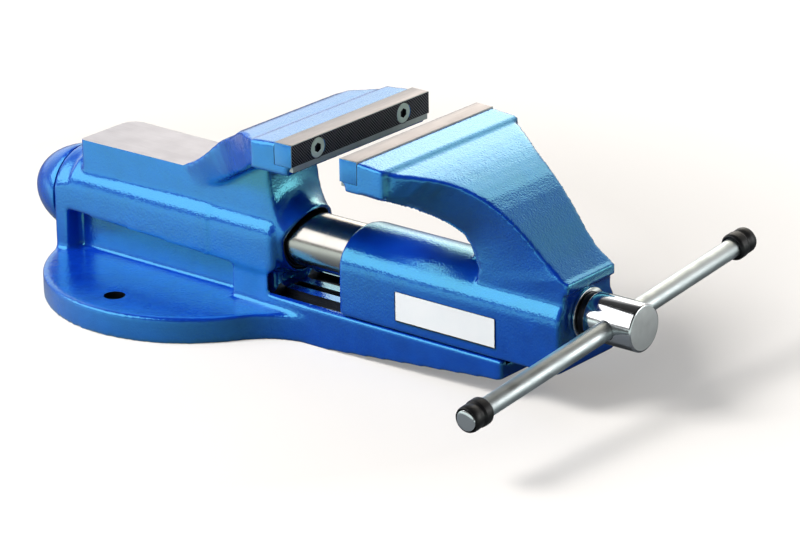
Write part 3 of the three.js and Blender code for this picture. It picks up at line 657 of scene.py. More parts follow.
@dataclass
class Casting:
    """A sand casting: it starts from the CAD solid, is filled where it is machined, and rounded all over."""

    node: str
    name: str
    body: Body
    plate_x: Range
    # how far along X the plug of the plate's seat is moved from the seat's two faces
    seat_grow: Range
    plate_z: Range = (123.4, 137.0)
    half_jaw: float = 62.5
    bore_radius: float = 17.3
    voxel_mm: float = 1.0
    convex_rounds: int = 14
    fillet_rounds: int = 18
    fillet_reach: int = 2
    # bend of the surface, in voxels, where a corner starts to count as hollow, and how much more is fully so
    flat_bend: float = 0.02
    fillet_bend: float = 0.06
    # how much its neighbours' mean share counts for a point, and how often the shares are then evened out
    fillet_spread: float = 1.6
    even_rounds: int = 2
    weight_steps: int = 10
    crease_angle: float = 40.0
    # how far a plug goes into the metal round a seat, and how far it stays under the open top
    plug_bite: float = 1.0
    plug_short: float = 0.75
    # how far the seat's cutter reaches past the jaw's ends and its top
    past_ends: float = 5.0
    past_top: float = 8.0

    def blank(self) -> Piece:
        """Copies the CAD solid and merges its loose triangles.

        Returns:
            The closed copy.
        """
        blank = bpy.data.objects.new(self.name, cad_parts[self.node].data.copy())
        bpy.context.scene.collection.objects.link(blank)
        with editing(blank):
            bpy.ops.mesh.remove_doubles(threshold=0.01 * MM)
        blank.data.materials.clear()
        return blank

    def fill(self, blank: Piece, fillers: Sequence[Piece]) -> None:
        """Joins metal to the blank where a machined hole or seat is cut later.

        Args:
            blank: The casting's blank.
            fillers: Closed blocks that overlap it, which are used up.
        """
        only(blank)
        for filler in fillers:
            filler.select_set(True)
        bpy.ops.object.join()

    def seat_plug(self) -> Piece:
        """Makes the metal in the jaw plate's seat, a little short of the seat's open faces."""
        x = (self.plate_x[0] + self.seat_grow[0], self.plate_x[1] + self.seat_grow[1])
        z = (self.plate_z[0] - self.plug_bite, self.plate_z[1] - self.plug_short)
        return block("plug", x, (-self.half_jaw, self.half_jaw), z)

    def seat_tool(self) -> Piece:
        """Makes the cutter of the jaw plate's seat, which reaches past the jaw at both ends and on top."""
        half = self.half_jaw + self.past_ends
        tool = block("tool", self.plate_x, (-half, half), (self.plate_z[0], self.plate_z[1] + self.past_top))
        return dress(tool, SLIDE_STEEL)

    def machine(self, blank: Piece, tools: Iterable[Piece]) -> Piece:
        """Paints the rounded blank, cuts its machined places and puts it on its moving group.

        Args:
            blank: The rounded blank.
            tools: The cutters, each dressed as the surface that it leaves.

        Returns:
            The finished piece.
        """
        dress(blank, ENAMEL)
        take_away(blank, tools)
        smooth_shading(blank, self.crease_angle)
        return place_piece(blank, self.body, Slot.ENAMEL, self.node)

    def round_off(self, blank: Piece) -> None:
        """Rounds the outer edges a little and the inner corners more, as a mould does.

        Args:
            blank: The filled blank.
        """
        apply_modifier(blank, "REMESH", mode="VOXEL", voxel_size=self.voxel_mm * MM, use_smooth_shade=True)
        apply_modifier(blank, "SMOOTH", factor=0.5, iterations=self.convex_rounds)
        self.smooth_by_share(blank, self.hollow_share(blank), self.fillet_rounds)

    def smooth_by_share(self, blank: Piece, shares: np.ndarray, rounds: int) -> None:
        """Smooths some of the points.

        Args:
            blank: The rounded blank.
            shares: How far each point takes part, from zero to one.
            rounds: How often it is smoothed.
        """
        group = blank.vertex_groups.new(name="share")
        for step in range(1, self.weight_steps + 1):
            chosen = np.nonzero(np.round(shares * self.weight_steps) == step)[0]
            if len(chosen):
                group.add(chosen.tolist(), step / self.weight_steps, "REPLACE")
        apply_modifier(blank, "SMOOTH", factor=0.5, iterations=rounds, vertex_group=group.name)
        blank.vertex_groups.clear()

    def hollow_share(self, blank: Piece) -> np.ndarray:
        """Finds how far each point lies in an inner corner.

        Args:
            blank: The rounded blank.

        Returns:
            A share from zero to one for each vertex.
        """
        mesh = blank.data
        count = len(mesh.vertices)
        points = np.empty(count * 3, np.float32)
        mesh.vertices.foreach_get("co", points)
        points = points.reshape(-1, 3).astype(float)
        normals = np.empty(count * 3, np.float32)
        mesh.vertex_normals.foreach_get("vector", normals)
        normals = normals.reshape(-1, 3)
        edges = np.empty(len(mesh.edges) * 2, np.int32)
        mesh.edges.foreach_get("vertices", edges)
        one, two = edges.reshape(-1, 2).T
        degree = np.maximum(np.bincount(one, minlength=count) + np.bincount(two, minlength=count), 1)

        def spread(values: np.ndarray) -> np.ndarray:
            """Averages a value over each vertex's neighbours."""
            total = np.bincount(one, values[two], count) + np.bincount(two, values[one], count)
            return total / degree

        middle = np.stack([spread(points[:, i]) for i in range(3)], 1)
        bend = ((middle - points) * normals).sum(1) / (self.voxel_mm * MM)
        share = np.clip((bend - self.flat_bend) / self.fillet_bend, 0, 1)
        for _ in range(self.fillet_reach):
            share = np.maximum(share, np.clip(spread(share) * self.fillet_spread, 0, 1))
        for _ in range(self.even_rounds):
            share = spread(share)
        return share


@dataclass
class FixedCasting(Casting):
    """The fixed body: foot, barrel, anvil, neck and jaw head in one casting, machined where things fit."""

    node: str = "fixed_body"
    name: str = "fixed_casting"
    body: Body = Body.BASE
    plate_x: Range = (126.0, 139.0)
    seat_grow: Range = (-1.0, -0.6)
    voxel_mm: float = 1.28
    convex_rounds: int = 9
    fillet_rounds: int = 12
    anvil_end: float = 19.0
    anvil_top: float = 89.6
    anvil_raise: float = 2.5
    # the facing cutter's rear end, half width and top, and where its slope along the neck ends
    facing_rear: float = -80.0
    facing_half: float = 40.0
    facing_top: float = 120.0
    fan_step: Station = (30.9, 96.0)
    bore_x: Range = (-90.0, 112.0)
    plug_start: float = -84.0
    plug_radius: float = 20.8
    # how far a plug stays short of an open end, in the holes and at the nose and the tongue
    hole_short: float = 0.5
    end_short: float = 1.5
    seat_radius: float = 19.7
    seat_x: float = 89.1
    nose_x: float = 95.0
    visor_x: float = 105.0
    visor_z: Range = (58.0, 76.1)
    bolt_radius: float = 6.5
    bolt_y: float = 66.0
    bolt_spare: float = 1.5
    bolt_drill: Range = (-5.0, 40.0)
    foot_top: float = 16.0
    tongue_top: float = 23.8
    channel_floor: float = 20.4
    channel_half: float = 22.4
    rail_half: float = 10.0
    groove_half: float = 3.2
    groove_floor: float = 20.9
    front_x: float = 86.5
    tongue_tip: float = 261.0

    def build(self) -> Piece:
        """Builds, rounds and machines the casting.

        Returns:
            The finished piece.
        """
        blank = self.blank()
        self.lift_anvil(blank)
        self.fill(blank, self.fillers())
        self.round_off(blank)
        return self.machine(blank, self.tools())

    def lift_anvil(self, blank: Piece) -> None:
        """Raises the anvil's rough top, so that facing it leaves crisp edges."""
        top = [
            vertex.index for vertex in blank.data.vertices
            if abs(vertex.co.z / MM - self.anvil_top) < 0.02 and vertex.co.x / MM < self.anvil_end + 1
        ]
        with editing(blank, "VERT", top):
            bpy.ops.transform.translate(value=(0, 0, self.anvil_raise * MM))

    def fillers(self) -> list[Piece]:
        """Makes the metal that the machining takes away again."""
        plugs = [
            rod("plug", (self.hole_short, self.foot_top - self.hole_short),
                self.bolt_radius + self.bolt_spare, upright(0, side * self.bolt_y), COARSE)
            for side in (-1, 1)
        ]
        bore = turned("plug", [
            (self.plug_start, self.plug_radius + 0.2), (self.nose_x - self.end_short, self.plug_radius),
        ], along_x(), PLAIN)
        visor = rod("plug", (self.seat_x, self.visor_x + 5), self.plug_radius, along_x(), PLAIN)
        bottom, top = self.visor_z
        lean = (top - bottom, 0, self.nose_x - self.visor_x)
        slice_at(visor, (self.nose_x - 1.2, 0, bottom), lean, trim=True)
        slice_at(visor, (0, 0, bottom - 2), (0, 0, -1), trim=True)
        seat = self.seat_plug()
        half = self.channel_half + 1
        channel = block(
            "plug", (self.front_x - 2, self.tongue_tip - self.end_short), (-half, half),
            (self.channel_floor - 1, self.tongue_top),
        )
        return [*plugs, bore, visor, seat, channel]

    def tools(self) -> list[Piece]:
        """Makes the cutters of every machined place, each dressed as the surface that it leaves."""
        drills = [
            rod("tool", self.bolt_drill, self.bolt_radius, upright(0, side * self.bolt_y), PLAIN)
            for side in (-1, 1)
        ]
        bore = turned("tool", [
            (self.bore_x[0], self.bore_radius), (self.seat_x, self.bore_radius),
            (self.seat_x, self.seat_radius), (self.bore_x[1], self.seat_radius),
        ], along_x(), FINE)
        for tool in (*drills, bore):
            dress(tool, SLIDE_STEEL)
        x = (self.front_x, self.tongue_tip + 10)
        slots = [
            dress(block("tool", x, y, (floor, self.tongue_top + 4)), SLIDE_STEEL)
            for y, floor in (
                ((-self.channel_half, -self.rail_half), self.channel_floor),
                ((self.rail_half, self.channel_half), self.channel_floor),
                ((-self.groove_half, self.groove_half), self.groove_floor),
            )
        ]
        return [self.facing_tool(), *drills, bore, self.seat_tool(), *slots]

    def facing_tool(self) -> Piece:
        """Makes the facing cutter: flat over the anvil, then sloping up along the neck's first step."""
        anvil_end, half = self.anvil_end, self.facing_half
        tool = block("tool", (self.facing_rear, anvil_end), (-half, half), (self.anvil_top, self.facing_top))
        with editing(tool, "FACE", [face.index for face in tool.data.polygons if face.normal.x > 0.9]):
            extrude(self.fan_step[0] - anvil_end, 0, 0)
        for vertex in tool.data.vertices:
            if vertex.co.x / MM > anvil_end + 1 and vertex.co.z / MM < self.anvil_top + 1:
                vertex.co.z = self.fan_step[1] * MM
        dress(tool, ANVIL_STEEL, ENAMEL)
        for face in tool.data.polygons:
            face.material_index = int(face.center.x / MM > anvil_end)
        return tool


@dataclass
class MovingCasting(Casting):
    """The moving body: slider, web, fan and jaw head in one casting, bored for the tube and the spindle."""

    node: str = "moving_body"
    name: str = "moving_casting"
    body: Body = Body.JAW
    plate_x: Range = (174.3, 187.3)
    seat_grow: Range = (0.6, 1.0)
    rear_x: float = 141.6
    front_x: float = 301.2
    mouth_spare: float = 1.5
    front_plug: float = 12.0
    tube_end: float = 199.9
    spindle_radius: float = 9.3
    flank_x: Range = (188.0, 300.0)
    flank_z: Range = (62.0, 119.0)
    flank_rounds: int = 120
    # how steeply a point's share grows as its face turns sideways and downwards, and where it starts
    flank_sideways: float = 10.0
    flank_start: float = 3.0
    flank_downward: float = 20.0

    def build(self) -> Piece:
        """Builds, rounds and machines the casting.

        Returns:
            The finished piece.
        """
        blank = self.blank()
        seat = self.seat_plug()
        mouth_radius = self.bore_radius + self.mouth_spare
        mouth = rod("plug", (self.rear_x + 0.4, self.rear_x + 8), mouth_radius, along_x(), PLAIN)
        front = rod("plug", (self.front_x - 9, self.front_x - 0.6), self.front_plug, along_x(), PLAIN)
        self.fill(blank, [seat, mouth, front])
        self.round_off(blank)
        self.even_flanks(blank)
        bore = rod("tool", (self.rear_x - 5, self.tube_end), self.bore_radius, along_x(), FINE)
        hole = rod("tool", (self.rear_x, self.front_x + 9), self.spindle_radius, along_x(), EVEN)
        return self.machine(blank, [dress(bore, SLIDE_STEEL), dress(hole, SLIDE_STEEL), self.seat_tool()])

    def even_flanks(self, blank: Piece) -> None:
        """Evens out the two flanks under the jaw head, each of which is one long sweep.

        Args:
            blank: The rounded blank.
        """
        (from_x, to_x), (from_z, to_z) = self.flank_x, self.flank_z
        shares = np.zeros(len(blank.data.vertices))
        for vertex in blank.data.vertices:
            if from_x * MM < vertex.co.x < to_x * MM and from_z * MM < vertex.co.z < to_z * MM:
                sideways = abs(vertex.normal.y) * self.flank_sideways - self.flank_start
                downward = -vertex.normal.z * self.flank_downward
                shares[vertex.index] = max(min(sideways, downward, 1.0), 0.0)
        self.smooth_by_share(blank, shares, self.flank_rounds)


# ---------------------------------------------------------------- jaw plates


@dataclass
class JawPlate:
    """A hardened plate with a checkered gripping face and two countersunk screws."""

    jaw: str
    body: Body
    face_x: float
    side: int
    thickness: float = 13.0
    height: float = 13.6
    top: float = 137.0
    half_width: float = 62.5
    strip: float = 3.1
    strip_depth: float = 2.9
    strip_half: float = 61.0
    seam: float = 0.35
    screw_y: float = 38.8
    screw_drop: float = 7.3
    head_radius: float = 6.0
    head_depth: float = 3.2
    shank_radius: float = 3.2
    hole_spare: float = 0.35
    hole_past: float = 2.0
    edge: float = 0.35
    screw_edge: float = 0.2
    screw_length: float = 24.0
    socket_radius: float = 2.9
    socket_depth: float = 2.6

    def build(self) -> list[Piece]:
        """Builds the plate and its two screws.

        Returns:
            The three pieces.
        """
        plate = self.plate()
        return [plate, *(self.screw(hand, side * self.screw_y) for hand, side in HANDS)]

    def plate(self) -> Piece:
        """Makes the plate: a ground block with a plain strip hanging from its front edge."""
        back = self.face_x - self.side * (self.thickness - self.seam)
        strip_back = self.face_x - self.side * self.strip_depth
        x = (min(self.face_x, back), max(self.face_x, back))
        bottom = self.top - self.height
        plate = block(f"{self.jaw}_plate", x, (-self.half_width, self.half_width), (bottom, self.top))
        slice_at(plate, (strip_back, 0, 0), (1, 0, 0))
        for y in (-self.strip_half, self.strip_half):
            slice_at(plate, (0, y, 0), (0, 1, 0))
        strip_root = [
            face.index for face in plate.data.polygons
            if face.normal.z < -0.9 and abs(face.center.y / MM) < 1
            and (face.center.x / MM - strip_back) * self.side > 0
        ]
        with editing(plate, "FACE", strip_root):
            extrude(0, 0, -self.strip)
        dress(plate, STRIP_STEEL, CHECKERED, PLATE_TOP_STEEL, ENAMEL)
        soften(plate, self.edge, 2)
        take_away(plate, [self.hole_tool(side * self.screw_y) for _, side in HANDS])
        low = Vector((x[0] - 1, -self.half_width - 1, bottom + 0.05))
        high = Vector((x[1] + 1, self.half_width + 1, self.top + 1))
        paint_faces(plate, 1, Vector((self.side, 0, 0)), low, high)
        paint_faces(plate, 2, Vector((0, 0, 1)), low, high)
        for side in (-1, 1):
            paint_faces(plate, 3, Vector((0, side, 0)), low, high, 0.6)
        smooth_shading(plate)
        return place_piece(plate, self.body, Slot.PLATE, f"{self.jaw}_jaw_plate")

    def screw_place(self, y: float) -> Matrix:
        """Placement of a screw's axis, measured along X from the gripping face."""
        return Matrix.Translation((self.face_x * MM, 0, 0)) @ along_x(y, self.top - self.screw_drop)

    def hole_tool(self, y: float) -> Piece:
        """Makes the cutter of one countersunk hole, a little wider than its screw."""
        head, shank = self.head_radius + self.hole_spare, self.shank_radius + self.hole_spare
        tool = turned("tool", [
            (self.side * self.hole_past, head), (0.0, head),
            (-self.side * self.head_depth, shank), (-self.side * (self.thickness + 3), shank),
        ], self.screw_place(y), PLAIN)
        return dress(tool, DARK_STEEL)

    def screw(self, hand: str, y: float) -> Piece:
        """Makes one countersunk screw with a hexagon socket."""
        back = -self.side
        screw = turned(f"{self.jaw}_plate_screw_{hand}_piece", [
            (back * 0.15, self.head_radius - 0.05), (back * 0.5, self.head_radius),
            (back * self.head_depth, self.shank_radius), (back * self.screw_length, self.shank_radius),
        ], self.screw_place(y), EVEN)
        socket_ends = (self.side * self.hole_past, back * self.socket_depth)
        socket = rod("tool", socket_ends, self.socket_radius, self.screw_place(y), HEXAGON)
        dress(screw, ZINC)
        take_away(screw, [dress(socket, DARK_STEEL)])
        soften(screw, self.screw_edge, 2)
        smooth_shading(screw)
        return place_piece(screw, self.body, Slot.ZINC, f"{self.jaw}_plate_screw_{hand}")


# ---------------------------------------------------------------- tube, cap and label


@dataclass
class Guide:
    """The ground guide tube and the rubber wiper in the mouth of the bore."""

    tube_x: Range = (-44.0, 199.6)
    tube_radius: float = 17.0
    tube_wall: float = 3.5
    wiper_x: Range = (89.4, 93.4)
    wiper_radius: float = 19.4
    wiper_gap: float = 0.25

    def build(self) -> list[Piece]:
        """Builds the tube and the wiper.

        Returns:
            The two pieces.
        """
        inner = self.tube_radius - self.tube_wall
        tube = sleeve("guide_tube_piece", self.tube_x, self.tube_radius, inner, FINEST)
        place_piece(finished(tube, TUBE_STEEL, 0.6), Body.JAW, Slot.GROUND, "guide_tube")
        lip = self.tube_radius + self.wiper_gap
        start, end = self.wiper_x
        wiper = turned("bore_wiper_piece", [
            (start, lip), (start, self.wiper_radius), (end - 0.8, self.wiper_radius),
            (end, self.wiper_radius - 0.9), (end, lip + 0.5), (end - 0.9, lip), (start, lip),
        ], along_x(), FINE, hollow=True)
        place_piece(finished(wiper, RUBBER, 0.25, 2), Body.BASE, Slot.RUBBER, "bore_wiper")
        return [tube, wiper]


@dataclass
class RearCap:
    """The cast dome that closes the barrel's rear end, with its two recessed cap screws."""

    seam_x: float = -85.8
    seam_depth: float = 0.5
    dome_start: float = -72.0
    dome_radius: float = 29.1
    dome_length: float = 45.5
    dome_height: float = 48.0
    hub_radius: float = 6.0
    hollow_radius: float = 12.0
    hollow_x: float = -95.8
    screw_y: float = 10.0
    screw_z: float = 30.0
    screw_seat: float = -90.8
    screw_gap: float = 0.3
    screw_head: float = 3.4
    screw_head_height: float = 3.6
    screw_shank: float = 1.9
    screw_length: float = 18.0
    socket_radius: float = 1.7
    socket_depth: float = 1.8
    # where the screw holes' cutters start, behind the dome, and how far all cutters reach past the seam
    hole_start: float = -125.0
    past_seam: float = 5.0
    crease_angle: float = 40.0
    rows: int = 18

    def radius_at(self, x: float) -> float:
        """Radius of the dome at an X in mm."""
        return self.dome_radius * math.sqrt(1 - ((self.dome_start - x) / self.dome_length) ** 2)

    def build(self) -> list[Piece]:
        """Builds the cap and its screws.

        Returns:
            The three pieces.
        """
        rear = self.dome_start - self.dome_length * math.sqrt(1 - (self.hub_radius / self.dome_radius) ** 2)
        profile = []
        for row in range(self.rows + 1):
            x = self.seam_x + (rear - self.seam_x) * math.sin(row / self.rows * math.pi / 2)
            profile.append((x, self.radius_at(x) - (self.seam_depth if row == 0 else 0.0)))
        cap = turned("rear_cap_piece", profile, along_x(z=self.dome_height), FINE)
        inside = self.seam_x + self.past_seam
        head, shank = self.screw_head + self.screw_gap, self.screw_shank + self.screw_gap
        tools = [rod("tool", (self.hollow_x, inside), self.hollow_radius, along_x(), PLAIN)]
        for _, side in HANDS:
            tools.append(turned("tool", [
                (self.hole_start, head), (self.screw_seat, head), (self.screw_seat, shank), (inside, shank),
            ], along_x(side * self.screw_y, self.screw_z), COARSE))
        dress(cap, ENAMEL)
        take_away(cap, [dress(tool, ENAMEL) for tool in tools])
        soften(cap, 0.5, 2, self.crease_angle)
        smooth_shading(cap)
        place_piece(cap, Body.BASE, Slot.ENAMEL, "rear_cap")
        return [cap, *(self.screw(hand, side) for hand, side in HANDS)]

    def screw(self, hand: str, side: int) -> Piece:
        """Makes one socket-head cap screw."""
        seat = self.screw_seat - self.screw_gap
        end = seat - self.screw_head_height
        head, shank = self.screw_head, self.screw_shank
        place = along_x(side * self.screw_y, self.screw_z)
        screw = turned(f"cap_screw_{hand}_piece", [
            (end, head - 0.2), (end + 0.2, head), (seat, head), (seat, shank),
            (end + self.screw_length, shank),
        ], place, PLAIN)
        dress(screw, DARK_STEEL)
        socket = rod("tool", (end - 3, end + self.socket_depth), self.socket_radius, place, HEXAGON)
        take_away(screw, [dress(socket, DARK_STEEL)])
        smooth_shading(screw)
        return place_piece(screw, Body.BASE, Slot.DARK, f"cap_screw_{hand}")


@dataclass
class LabelPlate:
    """The bare lacquered sheet on the slider's side, with rounded corners and a painted shadow along its left
    and lower edges.
    """

    x: Range = (184.4, 256.7)
    z: Range = (30.8, 48.8)
    side_y: float = -27.0
    thickness: float = 0.8
    corner: float = 0.8
    # width of the black band painted as shadow along the left and lower edges
    shadow_border: float = 0.7

    def build(self) -> Piece:
        """Builds the label plate.

        Returns:
            The plate.
        """
        plate = block("label_plate_piece", self.x, (self.side_y - self.thickness, self.side_y), self.z)
        points = plate.data.vertices
        corners = [
            edge.index for edge in plate.data.edges
            if abs(points[edge.vertices[0]].co.y - points[edge.vertices[1]].co.y) > self.thickness * MM / 2
        ]
        with editing(plate, "EDGE", corners):
            bpy.ops.mesh.bevel(offset=self.corner * MM, segments=5, affect="EDGES")
        with editing(plate, "FACE", [face.index for face in plate.data.polygons if face.normal.y < -0.9]):
            bpy.ops.mesh.inset(thickness=self.shadow_border * MM, depth=0.0)
        dress(plate, LABEL, RUBBER)
        # painted shadow: the sheet's edge faces and a band along its left and lower rims take the black
        # rubber finish
        for face in plate.data.polygons:
            at = face.center / MM
            left, below = at.x - self.x[0] < self.shadow_border, at.z - self.z[0] < self.shadow_border
            face.material_index = int(face.normal.y > -0.9 or left or below)
        smooth_shading(plate)
        return place_piece(plate, Body.JAW, Slot.LABEL, "label_plate")


# ---------------------------------------------------------------- spindle and handle


@dataclass
class HandleAxis:
    """The tilted axis of the handle bar, through the spindle head."""

    x: float = 322.8
    z: float = AXIS_Z
    tilt: float = 5.6
    offset: float = -6.4

    def place(self) -> Matrix:
        """Placement of a turning axis that runs from the near end of the bar to the far one."""
        turn = Matrix(((1, 0, 0, 0), (0, 0, 1, 0), (0, -1, 0, 0), (0, 0, 0, 1)))
        tilt = Matrix.Rotation(math.radians(self.tilt), 4, "X")
        middle = Matrix.Translation((self.x * MM, 0, self.z * MM))
        return middle @ tilt @ turn @ Matrix.Translation((0, 0, self.offset * MM))


@dataclass
class Spindle:
    """The chromed spindle with its turned head, bright thrust ring and dark collar."""

    axis: HandleAxis = field(default_factory=HandleAxis)
    tail_x: float = -58.7
    head_x: float = 307.3
    head_end: float = 340.3
    shank_radius: float = 9.0
    head_radius: float = 14.0
    chamfer: float = 0.9
    hole_radius: float = 6.05
    ring_x: Range = (301.5, 303.1)
    ring_radius: float = 15.4
    collar_x: Range = (303.4, 307.0)
    collar_radius: float = 13.0
    ring_gap: float = 0.3

    def build(self) -> list[Piece]:
        """Builds the spindle and what is round it.

        Returns:
            The three pieces.
        """
        cut, shank, head = self.chamfer, self.shank_radius, self.head_radius
        spindle = turned("spindle_piece", [
            (self.tail_x, shank - cut), (self.tail_x + cut, shank), (self.head_x, shank),
            (self.head_x, head - cut), (self.head_x + cut, head), (self.head_end - cut, head),
            (self.head_end - 0.25 * cut, head - 0.5 * cut), (self.head_end, head - 1.4 * cut),
        ], along_x(), FINEST)
        dress(spindle, CHROME, SATIN_CHROME)
        low, high = Vector((self.head_end - 0.2, -20, 0)), Vector((self.head_end + 1, 20, 100))
        paint_faces(spindle, 1, Vector((1, 0, 0)), low, high)
        across = self.axis.place() @ Matrix.Translation((0, 0, -self.axis.offset * MM))
        drill = rod("tool", (-40.0, 40.0), self.hole_radius, across, EVEN)
        soften(spindle, 0.3, 2, 40.0)
        take_away(spindle, [dress(drill, CHROME)])
        smooth_shading(spindle)
        place_piece(spindle, Body.SCREW, Slot.CHROME, "spindle")
        bore = shank + self.ring_gap
        ring = sleeve("thrust_ring_piece", self.ring_x, self.ring_radius, bore, FINE)
        place_piece(finished(ring, CHROME, 0.35), Body.SCREW, Slot.CHROME, "thrust_ring")
        collar = sleeve("spindle_collar_piece", self.collar_x, self.collar_radius, bore, FINE)
        place_piece(finished(collar, DARK_STEEL, 0.35), Body.SCREW, Slot.DARK, "spindle_collar")
        return [spindle, ring, collar]


@dataclass
class Handle:
    """The chromed handle bar with its ridged rubber rings and end buttons."""

    axis: HandleAxis = field(default_factory=HandleAxis)
    radius: float = 5.75
    half_length: float = 125.5
    ring_end: float = 132.0
    ring_length: float = 15.0
    ring_gap: float = 0.3
    inner_ridge: float = 8.1
    outer_ridge: float = 7.7
    waist: float = 7.2
    button_radius: float = 6.5
    button_start: float = 125.8
    button_length: float = 7.4
    # the crown: distance from the button's end, and how much is off its radius there
    crown: tuple[Station, ...] = ((1.6, 0.0), (0.7, 0.5), (0.2, 1.6), (0.0, 3.6))

    def build(self) -> list[Piece]:
        """Builds the bar, and a ring and a button at each end.

        Returns:
            The five pieces.
        """
        place = self.axis.place()
        bar = rod("handle_bar_piece", (-self.half_length, self.half_length), self.radius, place, FINE)
        pieces = [place_piece(finished(bar, BAR_CHROME, 0.5), Body.HANDLE, Slot.CHROME, "handle_bar")]
        for hand, side in HANDS:
            pieces += [self.ring(hand, side, place), self.button(hand, side, place)]
        return pieces

    def ring(self, hand: str, side: int, place: Matrix) -> Piece:
        """Turns one rubber ring: two round ridges with a waist between them."""
        start = self.ring_end - self.ring_length
        bar_bore, button_bore = self.radius + self.ring_gap, self.button_radius + self.ring_gap
        step = self.half_length - self.ring_gap
        # places as shares of the ring's length, from the middle of the bar outwards
        shares = (
            (0.0, self.waist), (0.1, self.inner_ridge), (0.42, self.inner_ridge), (0.52, self.waist),
            (0.6, self.waist), (0.66, self.outer_ridge), (0.9, self.outer_ridge), (1.0, self.waist),
        )
        outer = [(start + self.ring_length * share, radius) for share, radius in shares]
        profile = [
            (start, bar_bore), *outer, (self.ring_end, button_bore),
            (step, button_bore), (step, bar_bore), (start, bar_bore),
        ]
        ring = turned(f"handle_ring_{hand}_piece", [(side * y, r) for y, r in profile], place, hollow=True)
        finished(ring, RUBBER, 0.45)
        return place_piece(ring, Body.HANDLE, Slot.RUBBER, f"handle_ring_{hand}")

    def button(self, hand: str, side: int, place: Matrix) -> Piece:
        """Turns one end button with a slightly crowned face."""
        end, radius = self.button_start + self.button_length, self.button_radius
        profile = [(self.button_start, radius), *((end - back, radius - less) for back, less in self.crown)]
        button = turned(f"handle_button_{hand}_piece", [(side * y, r) for y, r in profile], place, EVEN)
        smooth_shading(dress(button, CHROME))
        return place_piece(button, Body.HANDLE, Slot.CHROME, f"handle_button_{hand}")


# ---------------------------------------------------------------- what stays as the CAD solid


@dataclass
class HiddenParts:
    """The parts inside the vise, which keep their CAD solids and get a real finish."""

    nodes: tuple[str, ...] = ("spindle_nut", "nut_dowel", "guide_lock_pin", "retaining_ring")
    finish: Finish = DARK_STEEL

    def build(self) -> None:
        """Dresses each hidden part."""
        for name in self.nodes:
            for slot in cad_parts[name].material_slots:
                slot.material = self.finish.material()
            LOG.info("%s: dressed as %s", name, self.finish.name)


# ---------------------------------------------------------------- studio

# an axis, the two places along it between which a light changes, and the light's strength at each
Fade = tuple[str, float, float, float, float]
FADE_INPUTS = ("Value", "From Min", "From Max", "To Min", "To Max")


@dataclass(frozen=True)
class ViewPoint:
    """Where the photograph was taken from: angles in degrees, lengths in mm, the picture in pixels."""

    azimuth: float = 39.304
    elevation: float = 20.564
    roll: float = -0.868
    distance: float = 2241.5
    aim: Point = (169.0, 0.0, 137.0)
    aim_pixel: tuple[float, float] = (401.68, 127.94)
    scale: float = 1.749
    width: int = 800
    height: int = 533
    sensor: float = 36.0
    clip_m: Range = (0.05, 50.0)


@dataclass(frozen=True)
class Lamp:
    """One square-cornered area lamp: places and sizes in metres, power in watts."""

    name: str
    spot: Point
    aim: Point
    size: tuple[float, float]
    watts: float
    colour: str = "#FFFFFF"
    mirrored: bool = True


WARM_WHITE = "#FFF4E2"
# a key box at the upper left, a front fill that gloss doesn't mirror, warm boxes behind, one at the right
LAMPS = (
    Lamp("key", (-0.59, -0.7, 0.74), (0.12, 0.0, 0.07), (1.4, 1.15), 10.5),
    Lamp("front", (-0.45, -0.95, 1.35), (0.2, 0.0, 0.07), (0.8, 0.6), 33.0, mirrored=False),
    Lamp("behind_left", (-0.88, 1.0, 0.65), (-0.88, 0.0, 0.65), (0.46, 0.7), 0.78, WARM_WHITE),
    Lamp("behind", (-0.375, 1.0, 0.65), (-0.375, 0.0, 0.65), (0.55, 0.7), 2.75, WARM_WHITE),
    Lamp("behind_mid", (0.13, 1.0, 1.02), (0.2, 0.0, 0.1), (0.5, 0.45), 1.2, WARM_WHITE),
    Lamp("behind_right", (0.73, 1.0, 0.89), (0.27, 0.0, 0.1), (0.7, 0.6), 0.4, WARM_WHITE),
    Lamp("right", (1.25, 0.72, 0.34), (0.27, 0.0, 0.1), (0.7, 0.5), 2.9),
)


